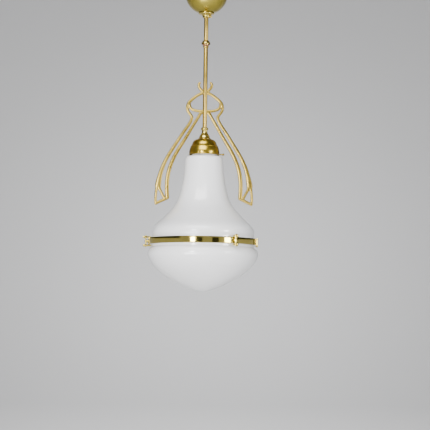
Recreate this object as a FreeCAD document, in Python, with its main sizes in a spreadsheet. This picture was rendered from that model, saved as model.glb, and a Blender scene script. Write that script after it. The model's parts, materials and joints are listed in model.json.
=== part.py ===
import FreeCAD, Part

import math
import os
import re

import Sketcher
from FreeCAD import Placement, Rotation, Vector

# A brass ceiling pendant with a two-part opal glass shade, in millimetres.
# Origin: centre of the ceiling bar's face on the ceiling. +Z is up, so the lamp hangs into -Z.
# The two cast side arms lie in the X-Z plane and -Y is the front.
# Azimuths count from the front towards +X.

doc = FreeCAD.newDocument("opal_pendant")

# ---------------------------------------------------------------- driving dimensions
SIZES = [
    # steel bar on the ceiling, bent down in the middle
    ("bar_length", 90.0), ("bar_width", 20.0), ("bar_thick", 2.0), ("bar_drop", 14.0),
    ("bar_bridge", 48.0), ("bar_hole_spacing", 70.0), ("bar_hole_radius", 2.6),
    # brass tubes with M10x1 ends
    ("tube_radius", 5.0), ("tube_wall", 1.0), ("thread_gap", 0.05), ("slide_gap", 0.1),
    ("stem_above_bar", 6.0), ("ball_drop", 126.0), ("lower_stem", 196.0),
    ("nut_across", 14.0), ("nut_height", 3.0),
    # cable outlet in the upper tube
    ("outlet_drop", 33.0), ("outlet_height", 13.0), ("outlet_width", 6.0),
    # terminal block, its sleeves and screws
    ("block_start", 9.5), ("block_length", 22.0), ("block_width", 14.0), ("block_height", 13.0),
    ("pole_pitch", 7.8), ("sleeve_radius", 2.4), ("sleeve_bore", 1.5), ("sleeve_length", 12.0),
    ("pole_screw_radius", 1.2), ("pole_screw_length", 6.5), ("block_screw_radius", 1.2),
    ("small_screw_radius", 1.5), ("screw_head", 1.8), ("lug_thick", 1.0),
    # conductors
    ("wire_radius", 1.0), ("wire_spacing", 1.15),
    # canopy
    ("canopy_radius", 50.0), ("canopy_rim", 6.0), ("canopy_wall", 1.0), ("canopy_gap", 0.5),
    ("canopy_depth", 51.5), ("collar_radius", 18.5), ("collar_bead", 4.4), ("collar_neck", 8.6),
    ("collar_height", 12.8), ("spigot_radius", 6.9), ("spigot_height", 4.6),
    ("collar_screw_azimuth", 75.0), ("collar_screw_rise", 2.75),
    # ball joint
    ("ball_radius", 7.0), ("washer_gap", 0.1), ("washer_thick", 0.5), ("joint_wall", 2.6),
    ("mouth_room", 1.1), ("mouth_flare", 1.5),
    ("washer_inner", "=ball_radius + washer_gap"), ("washer_outer", "=washer_inner + washer_thick"),
    ("cavity_radius", "=washer_outer + washer_gap"), ("joint_radius", "=cavity_radius + joint_wall"),
    ("mouth_inner", "=tube_radius + mouth_room"), ("mouth_outer", "=mouth_inner + mouth_flare"),
    # cast side arms
    ("arm_drop", 158.4), ("arm_thick", 6.0), ("arm_strand", 8.0), ("arm_crown", 68.9),
    ("arm_reach", 112.5), ("arm_fall", 217.0),
    # gallery
    ("gallery_height", 63.6), ("gallery_dome", 36.8), ("gallery_rim_radius", 35.4),
    ("gallery_step_radius", 31.2), ("gallery_step", 19.4), ("gallery_wall", 0.8),
    ("trumpet_flange", 8.7), ("trumpet_neck", 6.4), ("trumpet_foot", 15.6),
    ("gallery_screw_azimuth", 103.0), ("gallery_screw_rise", 2.6), ("gallery_screw_radius", 1.5),
    ("gallery_screw_out", 47.5), ("gallery_knob_radius", 2.6), ("gallery_knob_length", 4.4),
    # lampholder and lamp
    ("holder_radius", 19.5), ("holder_wall", 1.5), ("holder_cap", 14.0), ("holder_skirt", 37.0),
    ("shell_bore", 13.35), ("shell_wall", 0.4), ("shell_length", 24.0), ("cap_radius", 13.25),
    ("cap_length", 20.0), ("bulb_radius", 30.0), ("bulb_length", 86.0), ("bulb_wall", 0.8),
    # upper glass
    ("glass_height", 216.0), ("lip_inset", 13.6), ("lip_gap", 1.1), ("lip_height", 7.0),
    ("groove_depth", 3.7), ("groove_height", 8.0), ("shoulder_radius", 43.7), ("shoulder_drop", 22.2),
    ("bell_radius", 118.7), ("bell_foot", 21.0), ("glass_wall", 3.0),
    # rims that meet inside the ring, on both glasses
    ("bead_clear", 1.5), ("bead_height", 7.1), ("bead_gap", 0.3), ("bead_neck", 117.3),
    # bowl
    ("bowl_radius", 127.7), ("bowl_belly", 29.0), ("bowl_depth", 114.6), ("bowl_wall", 3.5),
    # ring, its three clips and its closure
    ("ring_radius", 127.5), ("ring_thick", 1.5), ("ring_height", 15.0),
    ("clip_azimuth", 35.0), ("clip_width", 10.5), ("clip_height", 27.0), ("clip_thick", 3.2),
    ("clip_standoff", 3.0), ("clip_screw_pitch", 19.4), ("clip_screw_radius", 2.0),
    ("clip_screw_reach", 6.7), ("clip_head_radius", 2.6), ("clip_head_length", 4.8),
    ("rivet_radius", 1.6), ("rivet_head_radius", 3.0), ("rivet_head", 1.1), ("rivet_gap", 0.02),
    ("closure_azimuth", 72.0), ("closure_gap", 1.6), ("leaf_thick", 1.2), ("leaf_start", 3.2),
    ("leaf_sweep", 5.4), ("knuckle_radius", 2.6), ("pin_radius", 1.3), ("pin_gap", 0.05),
    ("pin_ball_radius", 2.4), ("leaf_rivet_radius", 1.2), ("leaf_rivet_pitch", 7.2),
]

sheet = doc.addObject("Spreadsheet::Sheet", "Sizes")
for row, (alias, number) in enumerate(SIZES, start=1):
    sheet.set(f"A{row}", alias)
    sheet.set(f"B{row}", str(number))
    sheet.setAlias(f"B{row}", alias)
doc.recompute()

# Heights of the interfaces down the lamp, worked out from the driving dimensions.
LEVELS = [
    ("bar_top", "-bar_drop"),
    ("bar_bottom", "-bar_drop - bar_thick"),
    ("stem_top", "stem_above_bar - bar_drop"),
    ("ball_level", "-ball_drop"),
    ("stem_end", "-ball_drop + cavity_radius - 0.7"),
    ("collar_level", "-canopy_depth"),
    ("arm_level", "-ball_drop - arm_drop"),
    ("gallery_top", "-ball_drop - lower_stem"),
    ("rim_level", "-ball_drop - lower_stem - gallery_height"),
    ("dome_under", "-ball_drop - lower_stem - gallery_height + gallery_dome - gallery_wall"),
    ("holder_top", "-ball_drop - lower_stem - gallery_height + gallery_dome - gallery_wall - nut_height"),
    ("glass_top", "-ball_drop - lower_stem - gallery_height + lip_inset"),
    ("ring_level", "-ball_drop - lower_stem - gallery_height + lip_inset - glass_height"),
]
levels = doc.addObject("App::VarSet", "Levels")
size_names = [alias for alias, number in SIZES]
level_names = [name for name, text in LEVELS]


def linked(text):
    """An expression text whose names point at the sheet's cells and the levels."""
    def owner(match):
        word = match.group(0)
        if word in size_names:
            return "Sizes." + word
        if word in level_names:
            return "Levels." + word
        return word
    return re.sub(r"[a-z_]+", owner, text)


for name, text in LEVELS:
    levels.addProperty("App::PropertyFloat", name)
    levels.setExpression(name, linked(text))
doc.recompute()


def size(name):
    """The number in the sheet's cell of this name."""
    return float(getattr(sheet, name))


def level(name):
    """The height of this interface."""
    return float(getattr(levels, name))


# ---------------------------------------------------------------- ways of making a piece
nodes = []


def keep(piece, label):
    """Name a finished sub-part, which is then checked and written."""
    piece.Label = label
    nodes.append(piece)
    return piece


def place(piece, x="0", y="0", z="0", turn=None):
    """Put a piece at a point given in expressions, turned by a Rotation."""
    if turn is not None:
        piece.Placement = Placement(Vector(), turn)
    for axis, text in (("x", x), ("y", y), ("z", z)):
        if text != "0":
            piece.setExpression("Placement.Base." + axis, linked(text))
    return piece


def primitive(kind, name, x="0", y="0", z="0", turn=None, **sizes):
    """A Part primitive whose sizes are expressions."""
    piece = doc.addObject("Part::" + kind, name)
    for key, text in sizes.items():
        piece.setExpression(key, linked(text))
    return place(piece, x, y, z, turn)


def box(name, length, width, height, x="0", y="0", z="0", turn=None):
    """A block centred on x and y, standing on z."""
    return primitive("Box", name, f"{x} - ({length}) / 2", f"{y} - ({width}) / 2", z, turn,
                     Length=length, Width=width, Height=height)


def rod(name, radius, height, x="0", y="0", z="0", turn=None):
    """A cylinder that starts at the point and runs along its own Z."""
    return primitive("Cylinder", name, x, y, z, turn, Radius=radius, Height=height)


def joined(name, pieces):
    """Pieces fused into one."""
    fusion = doc.addObject("Part::MultiFuse", name)
    fusion.Shapes = pieces
    fusion.Refine = True
    return fusion


def without(name, base, tools):
    """A piece with the tools' volumes removed, one after another."""
    for step, tool in enumerate(tools, start=1):
        cut = doc.addObject("Part::Cut", name if step == len(tools) else f"{name}_cut_{step}")
        cut.Base = base
        cut.Tool = tool
        base = cut
    return base


def gathered(name, pieces):
    """Like pieces kept as separate solids in one sub-part."""
    group = doc.addObject("Part::Compound", name)
    group.Links = pieces
    return group


def turned(name, outline, along="z"):
    """A lathe-turned solid. The outline holds (radius, length) pairs, as expressions."""
    body = doc.addObject("PartDesign::Body", name)
    sketch = body.newObject("Sketcher::SketchObject", name + "_outline")
    role = "XZ_Plane" if along == "z" else "XY_Plane"
    plane = [item for item in body.Origin.OriginFeatures if item.Role == role][0]
    sketch.AttachmentSupport = [(plane, "")]
    sketch.MapMode = "FlatFace"
    count = len(outline)
    steps = [2 * math.pi * i / count for i in range(count)]
    corners = [Vector(20 + 9 * math.cos(step), 20 + 9 * math.sin(step), 0) for step in steps]
    for i in range(count):
        sketch.addGeometry(Part.LineSegment(corners[i], corners[(i + 1) % count]), False)
    for i in range(count):
        sketch.addConstraint(Sketcher.Constraint("Coincident", i, 2, (i + 1) % count, 1))
    radius_kind = ("DistanceX", -2) if along == "z" else ("DistanceY", -1)
    length_kind = ("DistanceY", -1) if along == "z" else ("DistanceX", -2)
    for i, pair in enumerate(outline):
        for text, (kind, axis) in zip(pair, (radius_kind, length_kind)):
            if text == "0":
                sketch.addConstraint(Sketcher.Constraint("PointOnObject", i, 1, axis))
            else:
                index = sketch.addConstraint(Sketcher.Constraint(kind, -1, 1, i, 1, corners[i].x))
                sketch.setExpression(f"Constraints[{index}]", linked(text))
    turn = body.newObject("PartDesign::Revolution", name + "_turning")
    turn.Profile = sketch
    turn.ReferenceAxis = (sketch, ["V_Axis" if along == "z" else "H_Axis"])
    turn.Angle = 360.0
    return body


def ring_outline(bore, outer, start, end):
    """The outline of a plain tube or disc."""
    return [(bore, start), (outer, start), (outer, end), (bore, end)]


def hex_nut(name, z):
    """A hexagon nut on the M10 thread, standing on z."""
    blank = primitive("Prism", name + "_blank", z=z, Circumradius="nut_across / sqrt(3)", Height="nut_height")
    hole = rod(name + "_hole", "tube_radius + thread_gap", "nut_height + 2", z=z + " - 1")
    return without(name, blank, [hole])


def azimuth_turn(azimuth):
    """The turn about Z that brings +X to this azimuth, which counts from -Y towards +X."""
    return Rotation(Vector(0, 0, 1), azimuth - 90.0)


def shaped(label, shape, z="0"):
    """A sub-part whose shape is worked out below, as neither sketches nor primitives fit it."""
    piece = doc.addObject("Part::Feature", label)
    piece.Shape = shape
    piece.Placement = Placement()
    return keep(place(piece, z=z), label)


def profile_face(start, runs):
    """A closed face in the X-Z plane. A run is ("line" | "arc" | "curve", its further points)."""
    here = Vector(start[0], 0, start[1])
    first = here
    edges = []
    for kind, *points in runs:
        chain = [here] + [Vector(x, 0, z) for x, z in points]
        if kind == "line":
            edges += [Part.LineSegment(a, b).toShape() for a, b in zip(chain, chain[1:])]
        elif kind == "arc":
            edges.append(Part.Arc(*chain).toShape())
        else:
            curve = Part.BSplineCurve()
            curve.interpolate(chain)
            edges.append(curve.toShape())
        here = chain[-1]
    if here.distanceToPoint(first) > 1e-6:
        edges.append(Part.LineSegment(here, first).toShape())
    return Part.Face(Part.Wire(edges))


def spun(start, runs):
    """A body of revolution about Z."""
    return profile_face(start, runs).revolve(Vector(), Vector(0, 0, 1), 360)


def inset(points, depth):
    """The points moved by depth to the right of their direction of travel."""
    moved = []
    for i, (x, z) in enumerate(points):
        before = points[max(i - 1, 0)]
        after = points[min(i + 1, len(points) - 1)]
        dx, dz = after[0] - before[0], after[1] - before[1]
        run = math.hypot(dx, dz)
        moved.append((x + depth * dz / run, z - depth * dx / run))
    return moved


def radial_rod(radius, start, end, azimuth, z):
    """A plain cylinder that lies along a radius of the lamp."""
    turn = azimuth_turn(azimuth)
    return Part.makeCylinder(radius, end - start, turn.multVec(Vector(start, 0, 0)) + Vector(0, 0, z),
                             turn.multVec(Vector(1, 0, 0)))


# ---------------------------------------------------------------- ceiling bar and connections
# The bar is one bent steel strip: two feet on the ceiling, two legs and a lowered middle.
foot_length = "(bar_length - bar_bridge) / 2"
strip = [box("bar_middle", "bar_bridge", "bar_width", "bar_thick", z="bar_bottom")]
for side, sign in (("left", "-1"), ("right", "1")):
    foot_x = f"{sign} * (bar_bridge / 2 + {foot_length} / 2)"
    leg_x = f"{sign} * (bar_bridge - bar_thick) / 2"
    strip.append(box(f"bar_foot_{side}", foot_length, "bar_width", "bar_thick", x=foot_x, z="-bar_thick"))
    strip.append(box(f"bar_leg_{side}", "bar_thick", "bar_width", "bar_drop + bar_thick",
                     x=leg_x, z="bar_bottom"))
block_middle = "block_start + block_length / 2"
block_screw_x = block_middle + " - pole_pitch / 2"
holes = [rod("bar_tube_hole", "tube_radius + thread_gap", "4 * bar_thick", z="bar_bottom - bar_thick"),
         rod("bar_block_hole", "block_screw_radius + thread_gap", "4 * bar_thick",
             x=block_screw_x, z="bar_bottom - bar_thick"),
         rod("bar_earth_hole", "small_screw_radius + thread_gap", "4 * bar_thick",
             x="-block_start - pole_pitch", z="bar_bottom - bar_thick")]
for side, sign in (("left", "-1"), ("right", "1")):
    holes.append(rod(f"bar_fixing_hole_{side}", "bar_hole_radius", "4 * bar_thick",
                     x=f"{sign} * bar_hole_spacing / 2", z="-2 * bar_thick"))
keep(without("ceiling_bar", joined("bar_strip", strip), holes), "ceiling_bar")

# Two nuts lock the tube in the bar.
bar_nuts = [hex_nut("nut_over_bar", "bar_top"), hex_nut("nut_under_bar", "bar_bottom - nut_height")]
keep(gathered("tube_locknuts", bar_nuts), "tube_locknuts")

# Three-pole block under the bar: moulded body, brass sleeves across it and screws from below.
pole_x = [f"{block_middle} + ({step}) * pole_pitch" for step in (-1, 0, 1)]
pole_z = "bar_bottom - block_height / 2"
along_y = Rotation(Vector(1, 0, 0), -90)
block = box("block_blank", "block_length", "block_width", "block_height", x=block_middle,
            z="bar_bottom - block_height")
sleeve_seats = [rod(f"block_sleeve_seat_{n}", "sleeve_radius + thread_gap", "block_width + 2", x=x,
                    y="-block_width / 2 - 1", z=pole_z, turn=along_y) for n, x in enumerate(pole_x)]
screw_wells = [rod(f"block_screw_well_{n}", "pole_screw_radius + 0.8", "block_height / 2", x=x,
                   z="bar_bottom - block_height - 1") for n, x in enumerate(pole_x)]
block_screw_way = rod("block_screw_way", "block_screw_radius + thread_gap", "block_height + 2",
                      x=block_screw_x, z="bar_bottom - block_height - 1")
block_screw_recess = rod("block_screw_recess", "block_screw_radius * 1.9 + thread_gap", "screw_head + 1.2",
                         x=block_screw_x, z="bar_bottom - block_height - 1")
keep(without("terminal_block", block, sleeve_seats + screw_wells + [block_screw_way, block_screw_recess]),
     "terminal_block")

sleeves = []
pole_screws = []
for n, x in enumerate(pole_x):
    sleeve = rod(f"sleeve_{n}", "sleeve_radius", "sleeve_length", x=x, y="-sleeve_length / 2",
                 z=pole_z, turn=along_y)
    bore = rod(f"sleeve_bore_{n}", "sleeve_bore", "sleeve_length + 2", x=x, y="-sleeve_length / 2 - 1",
               z=pole_z, turn=along_y)
    tapping = rod(f"sleeve_tapping_{n}", "pole_screw_radius + thread_gap", "block_height / 2", x=x,
                  z="bar_bottom - block_height")
    sleeves.append(without(f"terminal_sleeve_{n}", sleeve, [bore, tapping]))
    pole_screws.append(rod(f"pole_screw_{n}", "pole_screw_radius", "pole_screw_length - wire_radius - 1", x=x,
                           z=f"{pole_z} - pole_screw_length"))
keep(gathered("terminal_sleeves", sleeves), "terminal_sleeves")
keep(gathered("terminal_screws", pole_screws), "terminal_screws")


def head_screw(name, radius, shaft, x, z):
    """A small cheese-head screw that points up, with its head's seat at z."""
    head = radius + " * 1.9"
    body = turned(name, [("0", "0"), (head, "0"), (head, "screw_head"), (radius, "screw_head"),
                         (radius, f"screw_head + {shaft}"), ("0", f"screw_head + {shaft}")])
    return place(body, x=x, z=f"{z} - screw_head")


keep(head_screw("block_screw", "block_screw_radius", "block_height + bar_thick - 1", block_screw_x,
                "bar_bottom - block_height + screw_head + 0.2"), "block_screw")
earth_x = "-block_start - pole_pitch"
keep(head_screw("earth_screw", "small_screw_radius", "bar_thick + 4", earth_x,
                "bar_bottom - lug_thick - 0.2"), "earth_screw")
lug = rod("earth_lug_disc", "small_screw_radius * 2.3", "lug_thick", x=earth_x,
          z="bar_bottom - lug_thick - 0.1")
lug_hole = rod("earth_lug_hole", "small_screw_radius + thread_gap", "3 * lug_thick", x=earth_x,
               z="bar_bottom - 2 * lug_thick")
keep(without("earth_lug", lug, [lug_hole]), "earth_lug")


def conductor(label, points):
    """A round wire along straight runs joined by tangent arcs."""
    route = [Vector(*point) for point in points]
    edges = []
    here = route[0]
    for before, corner, after in zip(route, route[1:], route[2:]):
        way_in = (corner - before).normalize()
        way_out = (after - corner).normalize()
        turn = way_in.getAngle(way_out)
        setback = 0.45 * min((corner - before).Length, (after - corner).Length)
        arc_start = corner - way_in * setback
        arc_end = corner + way_out * setback
        bisector = (way_out - way_in).normalize()
        radius = setback / math.tan(turn / 2)
        centre = corner + bisector * (radius / math.cos(turn / 2))
        middle = centre - bisector * radius
        edges.append(Part.LineSegment(here, arc_start).toShape())
        edges.append(Part.Arc(arc_start, middle, arc_end).toShape())
        here = arc_end
    edges.append(Part.LineSegment(here, route[-1]).toShape())
    spine = Part.Wire(edges)
    start_way = (route[1] - route[0]).normalize()
    disc = Part.Wire([Part.Circle(route[0], start_way, size("wire_radius")).toShape()])
    wire = spine.makePipeShell([disc], True, False)
    return shaped(label, wire)


wire_side = size("wire_spacing")
pole_height = level("bar_bottom") - size("block_height") / 2
outlet = -size("outlet_drop") - size("outlet_height") / 2
block_face = -size("block_width") / 2
pole_middle = size("block_start") + size("block_length") / 2
wire_end = size("sleeve_length") / 2 - 2.0
for label, side, pole in (("live_wire_upper", 1, 0), ("neutral_wire_upper", -1, -1)):
    pole_place = pole_middle + pole * size("pole_pitch")
    conductor(label, [
        (side * wire_side, 0, level("ball_level") + 0.6),
        (side * wire_side, 0, outlet - 12),
        (side * wire_side, -3.0, outlet - 2),
        (side * wire_side + 2.0, -12.0, outlet + 5),
        (pole_place, -18.0 + side, pole_height - 5),
        (pole_place, block_face - 5.0, pole_height),
        (pole_place, -wire_end, pole_height)])
earth_place = -size("block_start") - size("pole_pitch")
conductor("earth_wire", [
    (earth_place, -2.3 * size("small_screw_radius") - 0.1, level("bar_bottom") - 2.4),
    (earth_place + 3.0, -15.0, level("bar_bottom") - 5.0),
    (0.0, -20.0, pole_height + 1.0),
    (pole_middle + size("pole_pitch") - 6.0, -19.0, pole_height + 3.0),
    (pole_middle + size("pole_pitch"), block_face - 4.0, pole_height),
    (pole_middle + size("pole_pitch"), -wire_end, pole_height)])

# ---------------------------------------------------------------- upper tube and canopy
bore = "tube_radius - tube_wall"
stem = turned("upper_tube_blank", ring_outline(bore, "tube_radius", "0", "stem_top - stem_end"))
place(stem, z="stem_end")
slot = box("upper_tube_outlet", "outlet_width", "tube_radius", "outlet_height", y="-tube_radius",
           z="-outlet_drop - outlet_height")
keep(without("upper_tube", stem, [slot]), "upper_tube")

# The canopy is a spun half ball with a short straight rim and a flat for its collar.
outer = size("canopy_radius")
wall = size("canopy_wall")
inner = outer - wall
centre = -size("canopy_rim")
floor = -size("canopy_depth")
hole = size("spigot_radius") + size("slide_gap")
outer_flat = math.sqrt(outer ** 2 - (centre - floor) ** 2)
inner_flat = math.sqrt(inner ** 2 - (centre - floor - wall) ** 2)
slant = math.sqrt(0.5)
shaped("canopy_cup", spun((outer, -size("canopy_gap")), [
    ("line", (outer, centre)),
    ("arc", (outer * slant, centre - outer * slant), (outer_flat, floor)),
    ("line", (hole, floor), (hole, floor + wall), (inner_flat, floor + wall)),
    ("arc", (inner * slant, centre - inner * slant), (inner, centre)),
    ("line", (inner, -size("canopy_gap")))]))

# Its turned collar: a bead under the cup, a hollow flare and a straight neck with a set screw.
bead = size("collar_bead")
collar_bore = size("tube_radius") + size("slide_gap")
collar_end = -size("collar_height")
collar = spun((collar_bore, collar_end), [
    ("line", (size("collar_neck"), collar_end), (size("collar_neck"), collar_end + 2.6)),
    ("curve", (size("collar_neck") + 0.8, -bead - 3.2), (size("collar_radius") * 0.64, -bead - 1.3),
     (size("collar_radius") * 0.85, -bead)),
    ("arc", (size("collar_radius"), -bead / 2), (size("collar_radius") - 1.2, 0)),
    ("line", (size("spigot_radius"), 0), (size("spigot_radius"), size("spigot_height")),
     (collar_bore, size("spigot_height")))])
collar_tapping = radial_rod(size("small_screw_radius") + size("thread_gap"), 0, size("collar_radius") + 2,
                            size("collar_screw_azimuth"), collar_end + size("collar_screw_rise"))
shaped("canopy_collar", collar.cut(collar_tapping), z="collar_level")

canopy_nut = turned("canopy_nut", ring_outline("spigot_radius + thread_gap", "spigot_radius + 3.4", "0",
                                               "spigot_height - canopy_wall - 0.6"))
place(canopy_nut, z="collar_level + canopy_wall")
keep(canopy_nut, "canopy_nut")

# The set screw bears on the tube. Its knob stands clear of the collar's neck.
collar_screw = turned("collar_screw", [
    ("0", "tube_radius + 0.1"), ("small_screw_radius", "tube_radius + 0.1"),
    ("small_screw_radius", "collar_neck + 1.6"), ("small_screw_radius * 1.8", "collar_neck + 1.6"),
    ("small_screw_radius * 1.8", "collar_neck + 4.4"), ("0", "collar_neck + 4.4")], along="x")
place(collar_screw, z="collar_level - collar_height + collar_screw_rise",
      turn=azimuth_turn(size("collar_screw_azimuth")))
keep(collar_screw, "collar_screw")

# ---------------------------------------------------------------- ball joint
# The round housing screws together from two halves at its equator. The upper one is on the upper tube.
def half_housing(label, upper, tools):
    """Half of the hollow ball, open at the equator."""
    whole = primitive("Sphere", label + "_outside", Radius="joint_radius")
    cavity = primitive("Sphere", label + "_cavity", Radius="cavity_radius")
    waste = rod(label + "_other_half", "2 * joint_radius", "2 * joint_radius",
                z="-2 * joint_radius" if upper else "0")
    result = without(label, whole, [cavity, waste] + tools)
    place(result, z="ball_level")
    return keep(result, label)


half_housing("joint_housing_upper", True, [
    rod("joint_tube_socket", "tube_radius + thread_gap", "joint_radius", z="stem_end - ball_level"),
    rod("joint_wire_way", "tube_radius - tube_wall + 0.2", "joint_radius")])
mouth = primitive("Cone", "joint_mouth", z="-joint_radius - 0.5",
                  Radius1="mouth_outer", Radius2="mouth_inner",
                  Height="joint_radius + 0.5 - sqrt(cavity_radius ^ 2 - mouth_inner ^ 2)")
half_housing("joint_housing_lower", False, [mouth])


def spherical_washer(label, low, high):
    """A pressed ring between two latitudes of the joint's ball."""
    segment = primitive("Sphere", label + "_segment", Radius="washer_outer", Angle1=low, Angle2=high)
    hollow = primitive("Sphere", label + "_hollow", Radius="washer_inner")
    result = without(label, segment, [hollow])
    place(result, z="ball_level")
    return keep(result, label)


spherical_washer("joint_pressure_washer", "30", "52")
spherical_washer("joint_seat_ring", "-30", "-12")

ball = primitive("Sphere", "joint_ball_blank", Radius="ball_radius")
ball_ways = [rod("joint_ball_bore", bore, "4 * ball_radius", z="-2 * ball_radius"),
             rod("joint_ball_socket", "tube_radius + thread_gap", "2 * ball_radius + 1",
                 z="-2 * ball_radius")]
keep(place(without("joint_ball", ball, ball_ways), z="ball_level"), "joint_ball")

lower_tube = turned("lower_tube", ring_outline(bore, "tube_radius", "0", "ball_level + 0.9 - holder_top + 6"))
place(lower_tube, z="holder_top - 6")
keep(lower_tube, "lower_tube")

# ---------------------------------------------------------------- cast side arms
# Each arm is one flat casting brazed to the tube at two pads. Its strands keep one thickness, and
# the pattern below is drawn for the right arm, from the lower pad at (0, 0), as (x, z, width share).
PATTERN_CROWN = 68.9
PATTERN_REACH = 112.5
PATTERN_FALL = 217.0
STRANDS = [
    # hook over the upper pad
    [(10.8, 68.4, 0.55), (13.6, 66.8, 0.7), (15.2, 62.0, 0.8), (13.4, 56.0, 0.8), (9.4, 51.0, 0.8),
     (5.5, 47.0, 0.85), (2.5, 43.6, 1.0)],
    # upper pad out to the widest place of the loop and on to its waist
    [(2.5, 45.5, 1.3), (9.5, 42.2, 0.9), (19.6, 36.5, 0.85), (29.8, 28.5, 0.9), (37.2, 20.6, 0.95),
     (40.6, 12.0, 0.9), (40.0, 3.0, 0.85), (35.4, -4.8, 0.8), (30.2, -13.3, 0.85), (32.2, -21.8, 0.9),
     (45.2, -42.6, 0.92), (60.0, -65.4, 0.96), (74.6, -88.6, 1.0), (87.3, -110.6, 1.06),
     (96.2, -131.0, 1.18), (102.4, -152.0, 1.36), (105.4, -168.0, 1.7), (106.6, -176.0, 1.8)],
    # inner side of the loop, back to the lower pad
    [(36.2, 21.0, 0.8), (35.6, 14.0, 0.8), (32.6, 7.6, 0.8), (25.6, 3.4, 0.8), (16.0, 1.4, 0.8),
     (2.5, 1.4, 0.9)],
    # inner strand from the lower pad to the foot
    [(2.5, 0.5, 1.3), (8.6, -3.0, 1.0), (14.0, -11.0, 0.88), (18.8, -19.6, 0.88), (24.8, -29.4, 0.9),
     (37.0, -50.7, 0.92), (49.6, -71.5, 0.98), (62.4, -92.6, 1.05), (73.0, -114.0, 1.1), (80.4, -135.0, 1.15),
     (84.2, -155.0, 1.18), (85.4, -176.0, 1.18), (84.2, -202.0, 1.15)],
    # outer and inner legs of the fork
    [(106.4, -172.0, 1.3), (109.4, -182.0, 0.85), (111.0, -194.0, 0.75), (111.4, -205.0, 0.75),
     (110.6, -216.0, 0.75)],
    [(105.4, -172.0, 1.3), (102.2, -181.5, 0.9), (97.2, -191.0, 0.78), (92.4, -200.0, 0.85),
     (88.5, -205.0, 1.0)],
    # slanting foot
    [(81.5, -201.0, 0.85), (97.0, -208.4, 0.85), (112.8, -216.2, 0.8)],
]


def strand_solid(points, side):
    """One strand as a flat bar of varying width along a smooth line."""
    scale_x = size("arm_reach") / PATTERN_REACH
    scale_up = size("arm_crown") / PATTERN_CROWN
    scale_down = size("arm_fall") / PATTERN_FALL
    half = size("arm_strand") / 2
    line = [(x * scale_x, z * (scale_up if z > 0 else scale_down)) for x, z, share in points]
    left = []
    right = []
    for (x, z), (moved_x, moved_z), (x0, z0, share) in zip(line, inset(line, 1.0), points):
        step_x, step_z = (moved_x - x) * half * share, (moved_z - z) * half * share
        right.append((side * (x + step_x), z + step_z))
        left.append((side * (x - step_x), z - step_z))
    way_back = reversed(right[:-1])
    face = profile_face(left[0], [("curve", *left[1:]), ("line", right[-1]), ("curve", *way_back)])
    bar = face.extrude(Vector(0, size("arm_thick"), 0))
    bar.translate(Vector(0, -size("arm_thick") / 2, level("arm_level")))
    return bar


def arm(label, side):
    """The casting, cut to sit on the tube."""
    strands = [strand_solid(points, side) for points in STRANDS]
    casting = strands[0].multiFuse(strands[1:])
    tube = Part.makeCylinder(size("tube_radius"), 600, Vector(0, 0, -600 + level("ball_level")))
    casting = casting.cut(tube).removeSplitter()
    biggest = max(casting.Solids, key=lambda solid: solid.Volume)
    return shaped(label, biggest)


arm("arm_left", -1)
arm("arm_right", 1)

# ---------------------------------------------------------------- gallery
rim = size("gallery_rim_radius")
sheet_wall = size("gallery_wall")
dome = size("gallery_dome")
step_r = size("gallery_step_radius")
step_z = size("gallery_step")
tube_hole = size("tube_radius") + size("thread_gap")
dome_line = [(size("trumpet_foot") + 1.2, dome - 0.3), (step_r * 0.76, dome - 3.2),
             (step_r * 0.88, dome - 8.6), (step_r * 0.95, step_z + 3.6), (step_r, step_z + 1.0)]
skirt_line = [(step_r + 0.9, step_z - 0.8), (rim - 1.9, step_z * 0.74), (rim - 0.55, step_z * 0.5),
              (rim - 0.2, 2.0)]
inner_dome = [(x - sheet_wall * 0.75, z - sheet_wall * 0.65) for x, z in dome_line]
inner_skirt = [(x - sheet_wall, z) for x, z in skirt_line]
cup = spun((tube_hole, dome), [
    ("line", (size("trumpet_foot"), dome)),
    ("curve", *dome_line),
    ("line", skirt_line[0]),
    ("curve", *skirt_line[1:]),
    ("arc", (rim + 0.6, 1.0), (rim - 0.2, 0.0)),
    ("line", (inner_skirt[-1][0], 0.0), inner_skirt[-1]),
    ("curve", *reversed(inner_skirt[:-1])),
    ("line", inner_dome[-1]),
    ("curve", *reversed(inner_dome[:-1]), (size("trumpet_foot"), dome - sheet_wall)),
    ("line", (tube_hole, dome - sheet_wall))])
screw_level = size("gallery_screw_rise")
gallery_azimuths = [size("gallery_screw_azimuth") + 120.0 * n for n in range(3)]
tapping = size("gallery_screw_radius") + size("thread_gap")
for azimuth in gallery_azimuths:
    cup = cup.cut(radial_rod(tapping, step_r - 4.0, rim + 6, azimuth, screw_level))
shaped("gallery_cup", cup, z="rim_level")

# Small turned bushes, soldered in the skirt, give the thumb screws their thread.
bushes = []
for azimuth in gallery_azimuths:
    bush = radial_rod(size("gallery_screw_radius") + 0.9, rim - sheet_wall - 1.4, rim - sheet_wall - 0.25,
                      azimuth, screw_level)
    bushes.append(bush.cut(radial_rod(tapping, 0, rim, azimuth, screw_level)))
shaped("gallery_bushes", Part.makeCompound(bushes), z="rim_level")

# The trumpet covers the tube's lower thread and clamps the cup.
flange = size("trumpet_flange")
neck = size("trumpet_neck")
foot = size("trumpet_foot")
height = size("gallery_height") - dome
shaped("gallery_trumpet", spun((tube_hole, 0.0), [
    ("line", (foot, 0.0)),
    ("curve", (foot - 0.2, 1.2), (foot - 2.8, 3.0), (foot - 4.0, 7.2), (neck + 2.4, 11.6),
     (neck + 0.2, height - 10.6), (neck, height - 6.6)),
    ("arc", (flange - 0.6, height - 5.2), (flange, height - 3.6)),
    ("arc", (flange - 1.0, height - 2.4), (flange - 0.4, height - 1.4)),
    ("line", (flange - 0.9, height), (tube_hole, height))]), z="rim_level + gallery_dome")

keep(hex_nut("gallery_locknut", "holder_top"), "gallery_locknut")

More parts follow.
